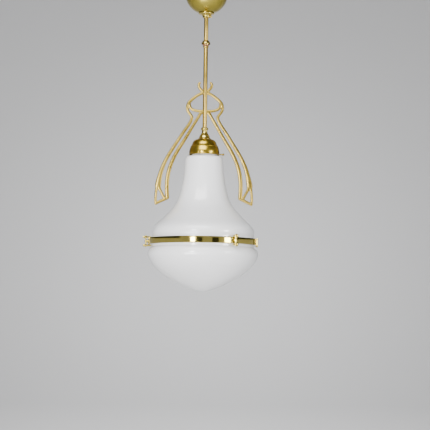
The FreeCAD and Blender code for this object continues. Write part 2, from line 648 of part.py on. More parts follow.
for n, azimuth in enumerate(gallery_azimuths, start=1):
    shaft = "gallery_screw_radius"
    screw_tip = "gallery_rim_radius - 0.2 - gallery_wall - lip_gap - groove_depth + 0.5"
    knob = "gallery_knob_radius"
    screw = turned(f"gallery_screw_{n}", [
        ("0", screw_tip), (shaft, screw_tip),
        (shaft, "gallery_screw_out - gallery_knob_length"),
        (knob + " - 0.7", "gallery_screw_out - gallery_knob_length"),
        (knob, "gallery_screw_out - gallery_knob_length + 0.8"), (knob, "gallery_screw_out - 0.8"),
        (knob + " - 0.7", "gallery_screw_out"), ("0", "gallery_screw_out")], along="x")
    place(screw, z="rim_level + gallery_screw_rise", turn=azimuth_turn(azimuth))
    keep(screw, f"gallery_screw_{n}")

# ---------------------------------------------------------------- lampholder
# A brass cap and skirt screw together round a ceramic body that carries the thread shell.
seat = "holder_radius - holder_wall"
holder_cap = turned("lampholder_cap", [
    ("tube_radius + thread_gap", "holder_cap"), ("holder_radius - 5", "holder_cap"),
    ("holder_radius", "holder_cap - 4"), ("holder_radius", "0"), (seat, "0"), (seat, "holder_cap - 4.8"),
    ("holder_radius - 5.7", "holder_cap - 2"), ("tube_radius + thread_gap", "holder_cap - 2")])
place(holder_cap, z="holder_top - holder_cap")
keep(holder_cap, "lampholder_cap")
skirt = turned("lampholder_skirt", ring_outline(seat, "holder_radius", "0", "holder_skirt"))
place(skirt, z="holder_top - holder_cap - holder_skirt")
keep(skirt, "lampholder_skirt")
ceramic = turned("ceramic_blank", [
    ("0", "8"), (f"{seat} - 0.1", "8"), (f"{seat} - 0.1", "0"), ("shell_bore + shell_wall", "0"),
    ("shell_bore + shell_wall", "3"), ("0", "3")])
place(ceramic, z="holder_top - holder_cap - 5")
contact_hole = rod("ceramic_contact_hole", "1.4", "20", z="holder_top - holder_cap - 10")
contact_screws = []
screw_holes = [contact_hole]
for side, sign in (("live", "1"), ("neutral", "-1")):
    place_x = f"{sign} * holder_radius / 2"
    screw_holes.append(rod(f"ceramic_screw_hole_{side}", "1.6", "4",
                           x=place_x, z="holder_top - holder_cap + 1"))
    contact_screws.append(rod(f"contact_screw_{side}", "1.5", "4.6",
                              x=place_x, z="holder_top - holder_cap + 1.2"))
keep(without("lampholder_ceramic", ceramic, screw_holes), "lampholder_ceramic")
keep(gathered("lampholder_screws", contact_screws), "lampholder_screws")
thread_shell = turned("lampholder_shell", ring_outline("shell_bore", "shell_bore + shell_wall",
                                                       "0", "shell_length"))
place(thread_shell, z="holder_top - holder_cap - 2.1 - shell_length")
keep(thread_shell, "lampholder_shell")
contact = turned("lampholder_contact", [
    ("0", "0"), ("4", "0"), ("4", "0.8"), ("1.3", "0.8"), ("1.3", "8"), ("0", "8")])
place(contact, z="holder_top - holder_cap - 3.2")
keep(contact, "lampholder_contact")

holder_room = level("holder_top") - size("holder_cap")
for label, side in (("live_wire_lower", 1), ("neutral_wire_lower", -1)):
    conductor(label, [
        (side * wire_side, 0, level("ball_level") - 0.6),
        (side * wire_side, 0, level("holder_top") - 4),
        (side * (wire_side + 1.6), 0, holder_room + 5.8 + 1.6),
        (side * (size("holder_radius") / 2 - 1.0), 0, holder_room + 5.8 + size("wire_radius"))])

# ---------------------------------------------------------------- lamp
lamp_seat = "holder_top - holder_cap - 3.3"
contact_tip = turned("bulb_contact", [("0", "0"), ("4.6", "0"), ("4.6", "1.2"), ("3", "2"), ("0", "2")])
place(contact_tip, z=lamp_seat + " - 2")
keep(contact_tip, "bulb_contact")
insulator = turned("bulb_insulator", [("0", "0"), ("11", "0"), ("5.2", "4"), ("0", "4")])
place(insulator, z=lamp_seat + " - 6")
keep(insulator, "bulb_insulator")
screw_cap = turned("bulb_cap", [
    ("11", "cap_length"), ("cap_radius", "cap_length - 1.6"), ("cap_radius", "0"), ("cap_radius - 0.5", "0"),
    ("cap_radius - 0.5", "cap_length - 2.1"), ("11", "cap_length - 0.6")])
place(screw_cap, z=lamp_seat + " - 6 - cap_length")
keep(screw_cap, "bulb_cap")

throat = size("cap_radius") - 0.7
globe = size("bulb_radius")
length = size("bulb_length")
glass = size("bulb_wall")
globe_z = globe - length
lamp_line = [(throat, 8.0), (throat, 0.0), (throat + 0.9, -6.0), (globe * 0.64, globe_z + globe * 0.9),
             (globe * 0.93, globe_z + globe * 0.42), (globe, globe_z), (globe * 0.9, globe_z - globe * 0.44),
             (globe * 0.62, globe_z - globe * 0.78), (globe * 0.3, -length + globe * 0.045), (0.0, -length)]
lamp_inner = [(max(x - glass * 0.9, 0.0), z + (glass * 0.6 if z < globe_z else 0.0)) for x, z in lamp_line]
lamp_inner[-1] = (0.0, -length + glass)
lamp_glass = spun(lamp_line[0], [
    ("line", lamp_line[1]), ("curve", *lamp_line[2:]), ("line", lamp_inner[-1]),
    ("curve", *reversed(lamp_inner[1:-1])), ("line", lamp_inner[0])])
shaped("bulb_glass", lamp_glass, z=lamp_seat + " - 6 - cap_length")

# ---------------------------------------------------------------- upper glass
# Blown opal bell: a lip in the gallery, a groove for the screws, a long neck, a wide skirt, and a
# rolled bead that meets the bowl's bead inside the ring. Heights count up from the ring's middle.
BELL = [(0.88, 0.024), (0.731, 0.058), (0.611, 0.112), (0.506, 0.17), (0.417, 0.248), (0.328, 0.382),
        (0.237, 0.575), (0.165, 0.743), (0.089, 0.918), (0.04, 0.984)]
top = size("glass_height")
glass_wall = size("glass_wall")
shoulder_z = top - size("shoulder_drop")
shoulder_r = size("shoulder_radius")
bell_r = size("bell_radius")
bell_foot = size("bell_foot")
lip_r = size("gallery_rim_radius") - 0.2 - size("gallery_wall") - size("lip_gap")
groove_r = lip_r - size("groove_depth")
groove_top = top - size("lip_height")
groove_end = groove_top - size("groove_height")
bead_r = size("ring_radius") - size("ring_thick") - size("bead_clear")
bead_top = size("bead_gap") + size("bead_height")
neck_r = size("bead_neck")
screw_room = (size("clip_screw_pitch") / 2) + size("clip_screw_radius") + 0.6
bell_line = [(shoulder_r, shoulder_z)]
bell_line += [(shoulder_r + v * (bell_r - shoulder_r), bell_foot + u * (shoulder_z - bell_foot))
              for u, v in BELL]
bell_line.append((bell_r, bell_foot))
bell_inner = inset(bell_line, glass_wall)
upper_glass = spun((lip_r - 1.5, top), [
    ("line", (lip_r, top - 2.2), (lip_r, groove_top), (groove_r, groove_top - 0.6), (groove_r, groove_end)),
    ("arc", (groove_r + (shoulder_r - groove_r) * 0.8, groove_end - (groove_end - shoulder_z) * 0.36),
     bell_line[0]),
    ("curve", *bell_line[1:]),
    ("line", (neck_r, screw_room), (neck_r, bead_top), (bead_r, bead_top - 0.4), (bead_r, size("bead_gap")),
     (neck_r - glass_wall * 0.4, size("bead_gap")), (neck_r - glass_wall, bead_top)),
    ("line", (neck_r - glass_wall, screw_room), bell_inner[-1]),
    ("curve", *reversed(bell_inner[:-1])),
    ("line", (groove_r - glass_wall, groove_end - glass_wall), (groove_r - glass_wall, top))])
shaped("upper_glass", upper_glass, z="ring_level")

# ---------------------------------------------------------------- bowl
# Blown opal bowl. Depths count down from the ring's middle.
BOWL = [(0.13, 0.97), (0.239, 0.927), (0.351, 0.866), (0.461, 0.788), (0.571, 0.69), (0.681, 0.573),
        (0.792, 0.434), (0.901, 0.268), (0.967, 0.138)]
bowl_r = size("bowl_radius")
belly = -size("bowl_belly")
depth = -size("bowl_depth")
bowl_wall = size("bowl_wall")
bowl_line = [(neck_r, -screw_room),
             (neck_r + (bowl_r - neck_r) * 0.62, -screw_room + (belly + screw_room) * 0.27),
             (bowl_r, belly)]
bowl_line += [(v * bowl_r, belly + u * (depth - belly)) for u, v in BOWL]
bowl_line.append((0.0, depth))
bowl_inner = inset(bowl_line, bowl_wall)
bowl_inner[-1] = (0.0, depth + bowl_wall)
bowl = spun((bead_r, -size("bead_gap")), [
    ("line", (bead_r, -bead_top + 0.4), (neck_r, -bead_top), bowl_line[0]),
    ("curve", *bowl_line[1:]),
    ("line", bowl_inner[-1]),
    ("curve", *reversed(bowl_inner[:-1])),
    ("line", (bowl_inner[0][0], -bead_top), (neck_r - glass_wall * 0.4, -size("bead_gap")))])
shaped("bowl", bowl, z="ring_level")

# ---------------------------------------------------------------- ring
ring_z = "ring_level"
ring_inner = "ring_radius - ring_thick"
closure_turn = azimuth_turn(size("closure_azimuth"))
clip_azimuths = [size("clip_azimuth") + 120.0 * n for n in range(3)]
rivet_hole = "rivet_radius + rivet_gap"
leaf_rivet_angle = 0.62 * size("leaf_sweep") + math.degrees(size("leaf_start") / size("ring_radius"))


def crosswise(azimuth):
    """The turn that lays a cylinder's own Z along a radius at this azimuth."""
    return azimuth_turn(azimuth) * Rotation(Vector(0, 1, 0), 90)


leaf_rivets = [(size("closure_azimuth") + side * leaf_rivet_angle, f"({row}) * leaf_rivet_pitch / 2")
               for side in (-1, 1) for row in (-1, 1)]
band = primitive("Cylinder", "band_outside", z="-ring_height / 2", Radius="ring_radius", Height="ring_height")
band_cuts = [rod("band_inside", ring_inner, "ring_height + 2", z="-ring_height / 2 - 1")]
split = primitive("Box", "band_split", z="-ring_height", turn=azimuth_turn(size("closure_azimuth")),
                  Length="2 * ring_radius", Width="closure_gap", Height="2 * ring_height")
band_cuts.append(split)
for n, azimuth in enumerate(clip_azimuths):
    band_cuts.append(rod(f"band_clip_hole_{n}", rivet_hole, "ring_radius + 2", turn=crosswise(azimuth)))
for n, (azimuth, z) in enumerate(leaf_rivets):
    band_cuts.append(rod(f"band_leaf_hole_{n}", "leaf_rivet_radius + rivet_gap", "ring_radius + 2", z=z,
                         turn=crosswise(azimuth)))
keep(place(without("ring_band", band, band_cuts), z=ring_z), "ring_band")

# Three clips: a bridge held off the ring by a spacer, with a rivet through both.
plate_start = "ring_radius + clip_standoff"
plate_end = "ring_radius + clip_standoff + clip_thick"
bridges = []
clip_rivets = []
for n, azimuth in enumerate(clip_azimuths):
    plate = box(f"clip_plate_{n}", "clip_thick", "clip_width", "clip_height",
                x=f"{plate_start} + clip_thick / 2", z="-clip_height / 2")
    spacer = rod(f"clip_spacer_{n}", "rivet_radius * 2.1", "clip_standoff + 0.5", x="ring_radius + 0.1",
                 turn=Rotation(Vector(0, 1, 0), 90))
    ways = [rod(f"clip_rivet_way_{n}", rivet_hole, "4 * clip_thick + clip_standoff",
                x="ring_radius - clip_thick", turn=Rotation(Vector(0, 1, 0), 90))]
    for row, sign in (("upper", "1"), ("lower", "-1")):
        ways.append(rod(f"clip_{row}_tapping_{n}", "clip_screw_radius + thread_gap", "3 * clip_thick",
                        x="ring_radius", z=f"{sign} * clip_screw_pitch / 2",
                        turn=Rotation(Vector(0, 1, 0), 90)))
    bridge = without(f"clip_bridge_{n}", joined(f"clip_blank_{n}", [plate, spacer]), ways)
    bridges.append(place(bridge, turn=azimuth_turn(azimuth)))
    rivet = turned(f"clip_rivet_{n}", [
        ("0", f"{ring_inner} - rivet_head * 0.8"),
        ("rivet_head_radius * 0.8", f"{ring_inner} - rivet_head * 0.8"),
        ("rivet_head_radius * 0.8", ring_inner), ("rivet_radius", ring_inner), ("rivet_radius", plate_end),
        ("rivet_head_radius", plate_end), ("rivet_head_radius * 0.6", f"{plate_end} + rivet_head"),
        ("0", f"{plate_end} + rivet_head")], along="x")
    clip_rivets.append(place(rivet, turn=azimuth_turn(azimuth)))
keep(place(gathered("clip_bridges", bridges), z=ring_z), "clip_bridges")
keep(place(gathered("clip_rivets", clip_rivets), z=ring_z), "clip_rivets")

for row, sign in (("upper", "1"), ("lower", "-1")):
    for n, azimuth in enumerate(clip_azimuths, start=1):
        tip = "ring_radius - ring_thick - clip_screw_reach"
        head = "clip_head_radius"
        label = f"ring_screw_{row}_{n}"
        screw = turned(label, [
            ("0", tip), ("clip_screw_radius - 0.5", tip), ("clip_screw_radius", tip + " + 0.6"),
            ("clip_screw_radius", plate_end + " + 0.3"), (head, plate_end + " + 0.3"),
            (head, plate_end + " + clip_head_length"),
            (head + " - 0.6", plate_end + " + clip_head_length + 0.5"),
            ("0", plate_end + " + clip_head_length + 0.5")], along="x")
        place(screw, z=f"ring_level + {sign} * clip_screw_pitch / 2", turn=azimuth_turn(azimuth))
        keep(screw, label)

# The closure: a leaf riveted on each end of the ring, knuckles that interlock and a pin with a ball.
knuckle_x = "ring_radius + leaf_thick * 0.2 + knuckle_radius"


def leaf(label, side, spans):
    """A curved leaf with a tongue and a knuckle in each of its spans of height."""
    start_angle = math.degrees(size("leaf_start") / size("ring_radius"))
    sweep = Rotation(Vector(0, 0, 1), start_angle if side > 0 else -start_angle - size("leaf_sweep"))
    curved = primitive("Cylinder", label + "_sheet", z="-ring_height / 2", turn=sweep,
                       Radius="ring_radius + leaf_thick", Height="ring_height", Angle="leaf_sweep")
    core = rod(label + "_core", "ring_radius + 0.02", "ring_height + 2", z="-ring_height / 2 - 1")
    parts = [without(label + "_curve", curved, [core])]
    for n, (low, high) in enumerate(spans):
        tall = f"({high}) - ({low})"
        parts.append(rod(f"{label}_knuckle_{n}", "knuckle_radius", tall, x=knuckle_x, z=low))
        tongue_y = f"{side} * (leaf_start + 0.4) / 2"
        parts.append(box(f"{label}_tongue_{n}", "leaf_thick + 0.4", "leaf_start + 0.4", tall,
                         x="ring_radius + leaf_thick / 2 + 0.22", y=tongue_y, z=low))
    ways = [rod(label + "_pin_way", "pin_radius + pin_gap", "2 * ring_height", x=knuckle_x, z="-ring_height")]
    for row in (-1, 1):
        turn = Rotation(Vector(0, 0, 1), side * leaf_rivet_angle) * Rotation(Vector(0, 1, 0), 90)
        ways.append(rod(f"{label}_rivet_way_{row + 1}", "leaf_rivet_radius + rivet_gap",
                        "ring_radius + 4 * leaf_thick", z=f"({row}) * leaf_rivet_pitch / 2", turn=turn))
    result = without(label, joined(label + "_blank", parts), ways)
    place(result, z=ring_z, turn=closure_turn)
    return keep(result, label)


leaf("closure_leaf_left", -1, [("-ring_height / 6 + 0.15", "ring_height / 6 - 0.15")])
leaf("closure_leaf_right", 1, [("-ring_height / 2", "-ring_height / 6 - 0.15"),
                               ("ring_height / 6 + 0.15", "ring_height / 2")])
rivets = []
for n, (azimuth, z) in enumerate(leaf_rivets):
    head_z = "ring_radius + leaf_thick"
    rivet = turned(f"leaf_rivet_{n}", [
        ("0", ring_inner + " - 0.7"), ("leaf_rivet_radius * 1.5", ring_inner + " - 0.7"),
        ("leaf_rivet_radius * 1.5", ring_inner + " - 0.02"), ("leaf_rivet_radius", ring_inner + " - 0.02"),
        ("leaf_rivet_radius", head_z + " + 0.02"), ("leaf_rivet_radius * 1.6", head_z + " + 0.02"),
        ("leaf_rivet_radius", head_z + " + 0.9"), ("0", head_z + " + 0.9")], along="x")
    rivets.append(place(rivet, z=z, turn=azimuth_turn(azimuth)))
keep(place(gathered("closure_rivets", rivets), z=ring_z), "closure_rivets")
pin = rod("closing_pin_shaft", "pin_radius", "ring_height + pin_ball_radius", x=knuckle_x,
          z="-ring_height / 2 - pin_ball_radius")
pin_ball = primitive("Sphere", "closing_pin_ball", x=knuckle_x, z="-ring_height / 2 - pin_ball_radius - 0.2",
                     Radius="pin_ball_radius")
keep(place(joined("closing_pin", [pin, pin_ball]), z=ring_z, turn=closure_turn), "closing_pin")

# ---------------------------------------------------------------- checks and files
doc.recompute()
for item in doc.Objects:
    if "Invalid" in item.State or "Error" in item.State:
        raise RuntimeError(f"{item.Name} did not recompute: {item.State}")
for piece in nodes:
    if piece.Shape.isNull() or not piece.Shape.isValid() or not piece.Shape.Solids:
        raise RuntimeError(f"{piece.Label} has no valid solid")

os.makedirs("parts", exist_ok=True)
for piece in nodes:
    piece.Shape.exportStep(os.path.join("parts", piece.Label + ".step"))
print(len(nodes), "sub-parts written")
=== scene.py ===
import json
import math

import bmesh
import bpy
import numpy as np
from mathutils import Matrix, Vector


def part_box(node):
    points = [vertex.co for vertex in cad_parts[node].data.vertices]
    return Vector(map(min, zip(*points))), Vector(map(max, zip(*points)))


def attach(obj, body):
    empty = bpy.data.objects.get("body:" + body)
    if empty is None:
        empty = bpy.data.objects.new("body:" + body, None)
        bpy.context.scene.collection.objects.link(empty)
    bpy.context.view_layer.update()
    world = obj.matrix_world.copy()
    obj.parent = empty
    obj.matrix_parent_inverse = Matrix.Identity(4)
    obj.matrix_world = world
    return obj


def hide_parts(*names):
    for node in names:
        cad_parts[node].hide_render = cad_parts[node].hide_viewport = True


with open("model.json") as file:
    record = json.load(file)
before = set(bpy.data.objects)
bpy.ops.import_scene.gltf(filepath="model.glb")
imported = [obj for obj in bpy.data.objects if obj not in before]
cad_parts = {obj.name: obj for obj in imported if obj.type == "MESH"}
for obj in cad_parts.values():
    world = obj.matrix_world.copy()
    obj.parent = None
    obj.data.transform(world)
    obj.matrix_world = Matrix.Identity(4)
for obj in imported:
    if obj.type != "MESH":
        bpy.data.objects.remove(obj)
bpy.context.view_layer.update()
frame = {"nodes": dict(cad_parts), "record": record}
MM = 0.001

# The room: a round studio with a pale floor that sweeps up into a wall whose colour darkens to a deeper grey higher up,
# as painted shade. The lamp hangs in its middle. Outlines are turned about the lamp's axis, and their round stretches
# are arcs or curves.


def arc_points(start, middle, end, step=6.0):
    """Points after start on the arc through three points, one each few degrees."""
    (ax, ay), (bx, by), (cx, cy) = start, middle, end
    twist = 2 * (ax * (by - cy) + bx * (cy - ay) + cx * (ay - by))
    ox = ((ax**2 + ay**2) * (by - cy) + (bx**2 + by**2) * (cy - ay) + (cx**2 + cy**2) * (ay - by)) / twist
    oy = ((ax**2 + ay**2) * (cx - bx) + (bx**2 + by**2) * (ax - cx) + (cx**2 + cy**2) * (bx - ax)) / twist
    radius = math.hypot(ax - ox, ay - oy)
    first = math.atan2(ay - oy, ax - ox)
    sweep = (math.atan2(cy - oy, cx - ox) - first) % (2 * math.pi)
    half = (math.atan2(by - oy, bx - ox) - first) % (2 * math.pi)
    if half > sweep:
        sweep -= 2 * math.pi
    count = max(3, round(abs(math.degrees(sweep)) / step))
    angles = [first + sweep * (i + 1) / count for i in range(count)]
    return [(ox + radius * math.cos(angle), oy + radius * math.sin(angle)) for angle in angles]


def spline_points(points, per_span=8):
    """Points after the first on the smooth line through all of them, which bends least."""
    stops = np.array(points, float)
    knots = np.concatenate([[0.0], np.cumsum(np.linalg.norm(np.diff(stops, axis=0), axis=1))])
    count = len(stops)
    gaps = np.diff(knots)
    matrix = np.eye(count)
    right = np.zeros_like(stops)
    for i in range(1, count - 1):
        matrix[i, i - 1 : i + 2] = gaps[i - 1], 2 * (gaps[i - 1] + gaps[i]), gaps[i]
        right[i] = 6 * ((stops[i + 1] - stops[i]) / gaps[i] - (stops[i] - stops[i - 1]) / gaps[i - 1])
    bend = np.linalg.solve(matrix, right)
    line = []
    for i, gap in enumerate(gaps):
        for share in np.arange(1, per_span + 1) / per_span:
            a, b = 1 - share, share
            pull = ((a**3 - a) * bend[i] + (b**3 - b) * bend[i + 1]) * gap**2 / 6
            line.append(tuple(a * stops[i] + b * stops[i + 1] + pull))
    return line


def outline(start, *runs):
    """The points of an outline. A run is "line", "arc" or "curve" with its further points."""
    points = [start]
    for kind, *stops in runs:
        if kind == "line":
            points += stops
        elif kind == "arc":
            points += arc_points(points[-1], *stops)
        else:
            points += spline_points([points[-1], *stops])
    return points


def lathe(points, level=0.0, unit=MM, segments=144, closed=True):
    """A turned mesh about Z from (radius, height) points, as one closed shell."""
    shape = bmesh.new()
    rings = []
    for radius, height in points:
        if radius < 1e-6:
            rings.append([shape.verts.new((0, 0, level + unit * height))])
        else:
            turns = [2 * math.pi * i / segments for i in range(segments)]
            rings.append([shape.verts.new((unit * radius * math.cos(turn), unit * radius * math.sin(turn),
                                           level + unit * height)) for turn in turns])
    pairs = list(zip(rings, rings[1:] + rings[:1])) if closed else list(zip(rings, rings[1:]))
    for low, high in pairs:
        for i in range(segments):
            j = (i + 1) % segments
            corners = [low[i % len(low)], low[j % len(low)], high[j % len(high)], high[i % len(high)]]
            corners = list(dict.fromkeys(corners))
            if len(corners) > 2:
                shape.faces.new(corners)
    bmesh.ops.recalc_face_normals(shape, faces=shape.faces)
    mesh = bpy.data.meshes.new("turned")
    shape.to_mesh(mesh)
    shape.free()
    return mesh


def smoothed(mesh, angle=32.0):
    """The mesh shaded smooth, but for its sharp edges."""
    mesh.polygons.foreach_set("use_smooth", [True] * len(mesh.polygons))
    mesh.set_sharp_from_angle(angle=math.radians(angle))
    return mesh


def shown(name, mesh):
    """A new object with this mesh, at the origin."""
    made = bpy.data.objects.new(name, mesh)
    bpy.context.scene.collection.objects.link(made)
    return made


class Link:
    """A socket of a node tree. Sums of links add Math nodes, and node() adds any other kind."""

    def __init__(self, tree, socket=None):
        self.tree = tree
        self.socket = socket

    def node(self, kind, inputs=None, out=0, stops=None, **settings):
        made = self.tree.nodes.new(kind)
        for key, value in settings.items():
            setattr(made, key, value)
        if stops:
            ramp = made.color_ramp
            while len(ramp.elements) < len(stops):
                ramp.elements.new(0.5)
            for element, (place, colour) in zip(ramp.elements, stops):
                element.position = place
                element.color = (*colour, 1.0)
        for key, value in (inputs or {}).items():
            if isinstance(value, Link):
                self.tree.links.new(value.socket, made.inputs[key])
            else:
                made.inputs[key].default_value = value
        return Link(self.tree, made.outputs[out])

    def maths(self, operation, other, clamp=False):
        return self.node("ShaderNodeMath", {0: self, 1: other}, operation=operation, use_clamp=clamp)

    def __add__(self, other):
        return self.maths("ADD", other)

    def __radd__(self, other):
        return self.maths("ADD", other)

    def __sub__(self, other):
        return self.maths("SUBTRACT", other)

    def __mul__(self, other):
        return self.maths("MULTIPLY", other)

    def __rmul__(self, other):
        return self.maths("MULTIPLY", other)

    def __pow__(self, other):
        return self.maths("POWER", other)


class Surface:
    """A material with one Principled shader. Plain numbers and colours go on its own sockets."""

    def __init__(self, name, **sockets):
        self.material = bpy.data.materials.new(name)
        self.material.use_nodes = True
        self.link = Link(self.material.node_tree)
        self.shader = self.material.node_tree.nodes["Principled BSDF"]
        self.place = self.link.node("ShaderNodeTexCoord", out="Object")
        for key, value in sockets.items():
            self.shader.inputs[key.replace("_", " ")].default_value = value

    def noise(self, scale, detail=2.0, stretch=None):
        """A cloudy pattern of 0 to 1 in the piece's own place, drawn out where stretch is small."""
        place = self.place
        if stretch:
            place = self.link.node("ShaderNodeVectorMath", {0: place, 1: stretch}, operation="MULTIPLY")
        return self.link.node("ShaderNodeTexNoise", {"Vector": place, "Scale": scale, "Detail": detail})

    def between(self, share, low, high):
        """A colour between two, by a share."""
        return self.link.node("ShaderNodeMix", {0: share, 6: (*low, 1.0), 7: (*high, 1.0)}, out=2,
                              data_type="RGBA")

    def feed(self, socket, link):
        self.material.node_tree.links.new(link.socket, self.shader.inputs[socket])

    def relief(self, height, depth, strength=1.0):
        """Fine relief of this depth in metres."""
        self.feed("Normal", self.link.node("ShaderNodeBump", {"Height": height, "Distance": depth,
                                                              "Strength": strength}))


FLOOR_LEVEL = -1.9
WALL_RADIUS = 4.7
COVE_RADIUS = 0.5
WALL_TOP = 2.4
room = outline((0.0, FLOOR_LEVEL), ("line", (WALL_RADIUS - COVE_RADIUS, FLOOR_LEVEL)),
               ("arc", (WALL_RADIUS - COVE_RADIUS * (1 - math.sqrt(0.5)), FLOOR_LEVEL + COVE_RADIUS * (1 - math.sqrt(0.5))),
                (WALL_RADIUS, FLOOR_LEVEL + COVE_RADIUS)),
               ("line", (WALL_RADIUS, WALL_TOP)))
studio = shown("studio_floor_and_wall", smoothed(lathe(room, unit=1.0, segments=96, closed=False), 60.0))
paint = Surface("matt_wall_paint", Roughness=0.9)
paint_height = paint.link.node("ShaderNodeSeparateXYZ", {"Vector": paint.place}, out="Z")
# Painted shade: the share grows with height, so the wall goes from pale at the floor to darker grey above. Only the
# faint noise is the paint's own unevenness.
height_shade_share = (paint_height * 1.6 + 2.8).maths("ADD", paint.noise(0.7) * 0.1, clamp=True)
paint.feed("Base Color", paint.between(height_shade_share, (0.80, 0.80, 0.80), (0.41, 0.41, 0.415)))
studio.data.materials.append(paint.material)

# Studio light: two upright softboxes behind the camera, a wide soft one above and a faint fill.
# Near-black cards, seen only in reflections and casting no shadow, are painted shade for the room's dark corners: two
# between the softboxes give the polished ring something dark to mirror, and two more reach round the sides.


def around(azimuth, distance, level):
    """A place round the lamp. Azimuths count from the front towards +X."""
    turn = math.radians(azimuth)
    return Vector((distance * math.sin(turn), -distance * math.cos(turn), level))


def softbox(name, azimuth, distance, level, width, height, power, aim=(0.0, 0.0, -0.45), tint=(1.0, 1.0, 1.0)):
    lamp = bpy.data.lights.new(name, "AREA")
    lamp.shape = "RECTANGLE"
    lamp.size = width
    lamp.size_y = height
    lamp.energy = power
    lamp.color = tint
    holder = bpy.data.objects.new(name, lamp)
    holder.location = around(azimuth, distance, level)
    holder.rotation_euler = (Vector(aim) - holder.location).to_track_quat("-Z", "Y").to_euler()
    holder.visible_camera = False
    bpy.context.scene.collection.objects.link(holder)
    return holder


softbox("softbox_left", -20.5, 4.4, -0.38, 0.62, 1.15, 120)
softbox("softbox_right", 52.0, 4.4, -0.38, 0.95, 1.15, 105)
softbox("softbox_above", -14.0, 2.8, 2.1, 3.2, 1.6, 190)
softbox("softbox_low", -24.0, 2.4, -1.7, 1.2, 0.8, 68, aim=(0.0, 0.0, -0.65))
softbox("background_light", 180.0, 3.35, -0.5, 0.8, 0.8, 26, aim=(0.0, 4.7, -0.5))
world = bpy.data.worlds.new("studio_air")
world.use_nodes = True
world.node_tree.nodes["Background"].inputs["Color"].default_value = (0.93, 0.95, 1.0, 1.0)
world.node_tree.nodes["Background"].inputs["Strength"].default_value = 0.12
bpy.context.scene.world = world

# Painted shade: near-black sheets that only reflections see. They cast no shadow, light nothing, and stand for the
# room's dark corners.
reflected_shade_surface = Surface("reflected_shade_card", Roughness=0.8)
reflected_shade_surface.feed("Base Color", reflected_shade_surface.between(reflected_shade_surface.noise(2.0), (0.010, 0.012, 0.010), (0.022, 0.024, 0.020)))
for side, first, last, low, high in (("left", -15.5, -1.0, -1.15, 0.25), ("right", 19.0, 33.0, -1.15, 0.25),
                                     ("far_left", -150.0, -48.0, -0.1, 1.4), ("far_right", 76.0, 150.0, -0.1, 1.4)):
    columns = max(1, round((last - first) / 12))
    stops = [first + (last - first) * i / columns for i in range(columns + 1)]
    corners = [around(azimuth, WALL_RADIUS - 0.15, level) for azimuth in stops for level in (low, high)]
    card = bpy.data.meshes.new("card")
    card.from_pydata(corners, [], [(2 * i, 2 * i + 2, 2 * i + 3, 2 * i + 1) for i in range(columns)])
    board = shown(f"reflected_shade_card_{side}", card)
    board.data.materials.append(reflected_shade_surface.material)
    board.visible_camera = False
    board.visible_diffuse = False
    board.visible_shadow = False

# The camera stands in front of the lamp, below it, and looks slightly up.
camera_data = bpy.data.cameras.new("camera")
camera_data.lens = 139.0
camera_data.sensor_width = 36.0
camera = bpy.data.objects.new("camera", camera_data)
camera.location = (0.0308, -3.83, -0.7991)
camera.rotation_euler = (math.radians(90 + 4.1), math.radians(-0.82), 0.0)
bpy.context.scene.collection.objects.link(camera)
bpy.context.scene.camera = camera

# The canopy: half a ball spun from sheet brass over a chuck, with a short straight rim, lacquered.
# It covers the connections and rests on its collar. Spinning leaves fine rings in the brass.
bodies = frame["record"]["behaviour"]["bodies"]
body_of = {node: body for body, members in bodies.items() for node in members}


def applied(mesh, *modifiers):
    """The mesh after these modifiers, each a kind and its settings."""
    holder = shown("applied", mesh)
    for kind, settings in modifiers:
        modifier = holder.modifiers.new(kind, kind)
        for key, value in settings.items():
            setattr(modifier, key, value)
    evaluated = holder.evaluated_get(bpy.context.evaluated_depsgraph_get())
    result = bpy.data.meshes.new_from_object(evaluated)
    bpy.data.objects.remove(holder)
    return result


def edged(mesh, width=0.2 * MM, segments=2):
    """The mesh with its sharp edges broken, as a polisher leaves them."""
    return smoothed(applied(mesh, ("BEVEL", {"width": width, "segments": segments, "limit_method": "ANGLE",
                                             "angle_limit": math.radians(32)})))


def fitted(name, mesh, surface, *nodes):
    """A finished piece that stands for these CAD nodes and rides on their body."""
    mesh.materials.clear()
    mesh.materials.append(surface.material)
    piece = shown(name, mesh)
    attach(piece, body_of[nodes[0]])
    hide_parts(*nodes)
    return piece


def kept(surface, *nodes):
    """CAD nodes that stay as they are, in this finish."""
    for node in nodes:
        mesh = frame["nodes"][node].data
        mesh.materials.clear()
        mesh.materials.append(surface.material)


def brass(name, bright, deep, roughness, grain, coat=0.05, haze=0.10):
    """Brass that toned unevenly under its lacquer. The grain is the stretch of its tool marks."""
    metal = Surface(name, Metallic=1.0, Coat_Roughness=0.12, Coat_Weight=coat)
    tone = metal.noise(38.0, 4.0)
    spots = metal.noise(420.0, 3.0)
    marks = metal.noise(1.0, 3.0, stretch=grain)
    metal.feed("Base Color", metal.between((tone * 1.5 - 0.45).maths("ADD", spots * 0.3, clamp=True), deep, bright))
    metal.feed("Roughness", roughness + (tone - 0.5) * haze + (marks - 0.5) * haze)
    metal.relief(marks + spots * 0.3, 0.03 * MM, 0.35)
    return metal


AROUND_AXIS = (60.0, 60.0, 2600.0)
spun_brass = brass("spun_brass_lacquered", (0.47, 0.38, 0.07), (0.33, 0.265, 0.035), 0.25, AROUND_AXIS)
cup_low, cup_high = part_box("canopy_cup")
cup_radius = cup_high.x / MM
cup_floor = cup_low.z / MM
cup_rim = cup_high.z / MM
cup_wall = 1.0
cup_middle = -6.0
spigot_hole = 7.0
diagonal = math.sqrt(0.5)


def ball_width(radius, level):
    """The half width of the canopy's ball at this level."""
    return math.sqrt(radius**2 - (cup_middle - level) ** 2)


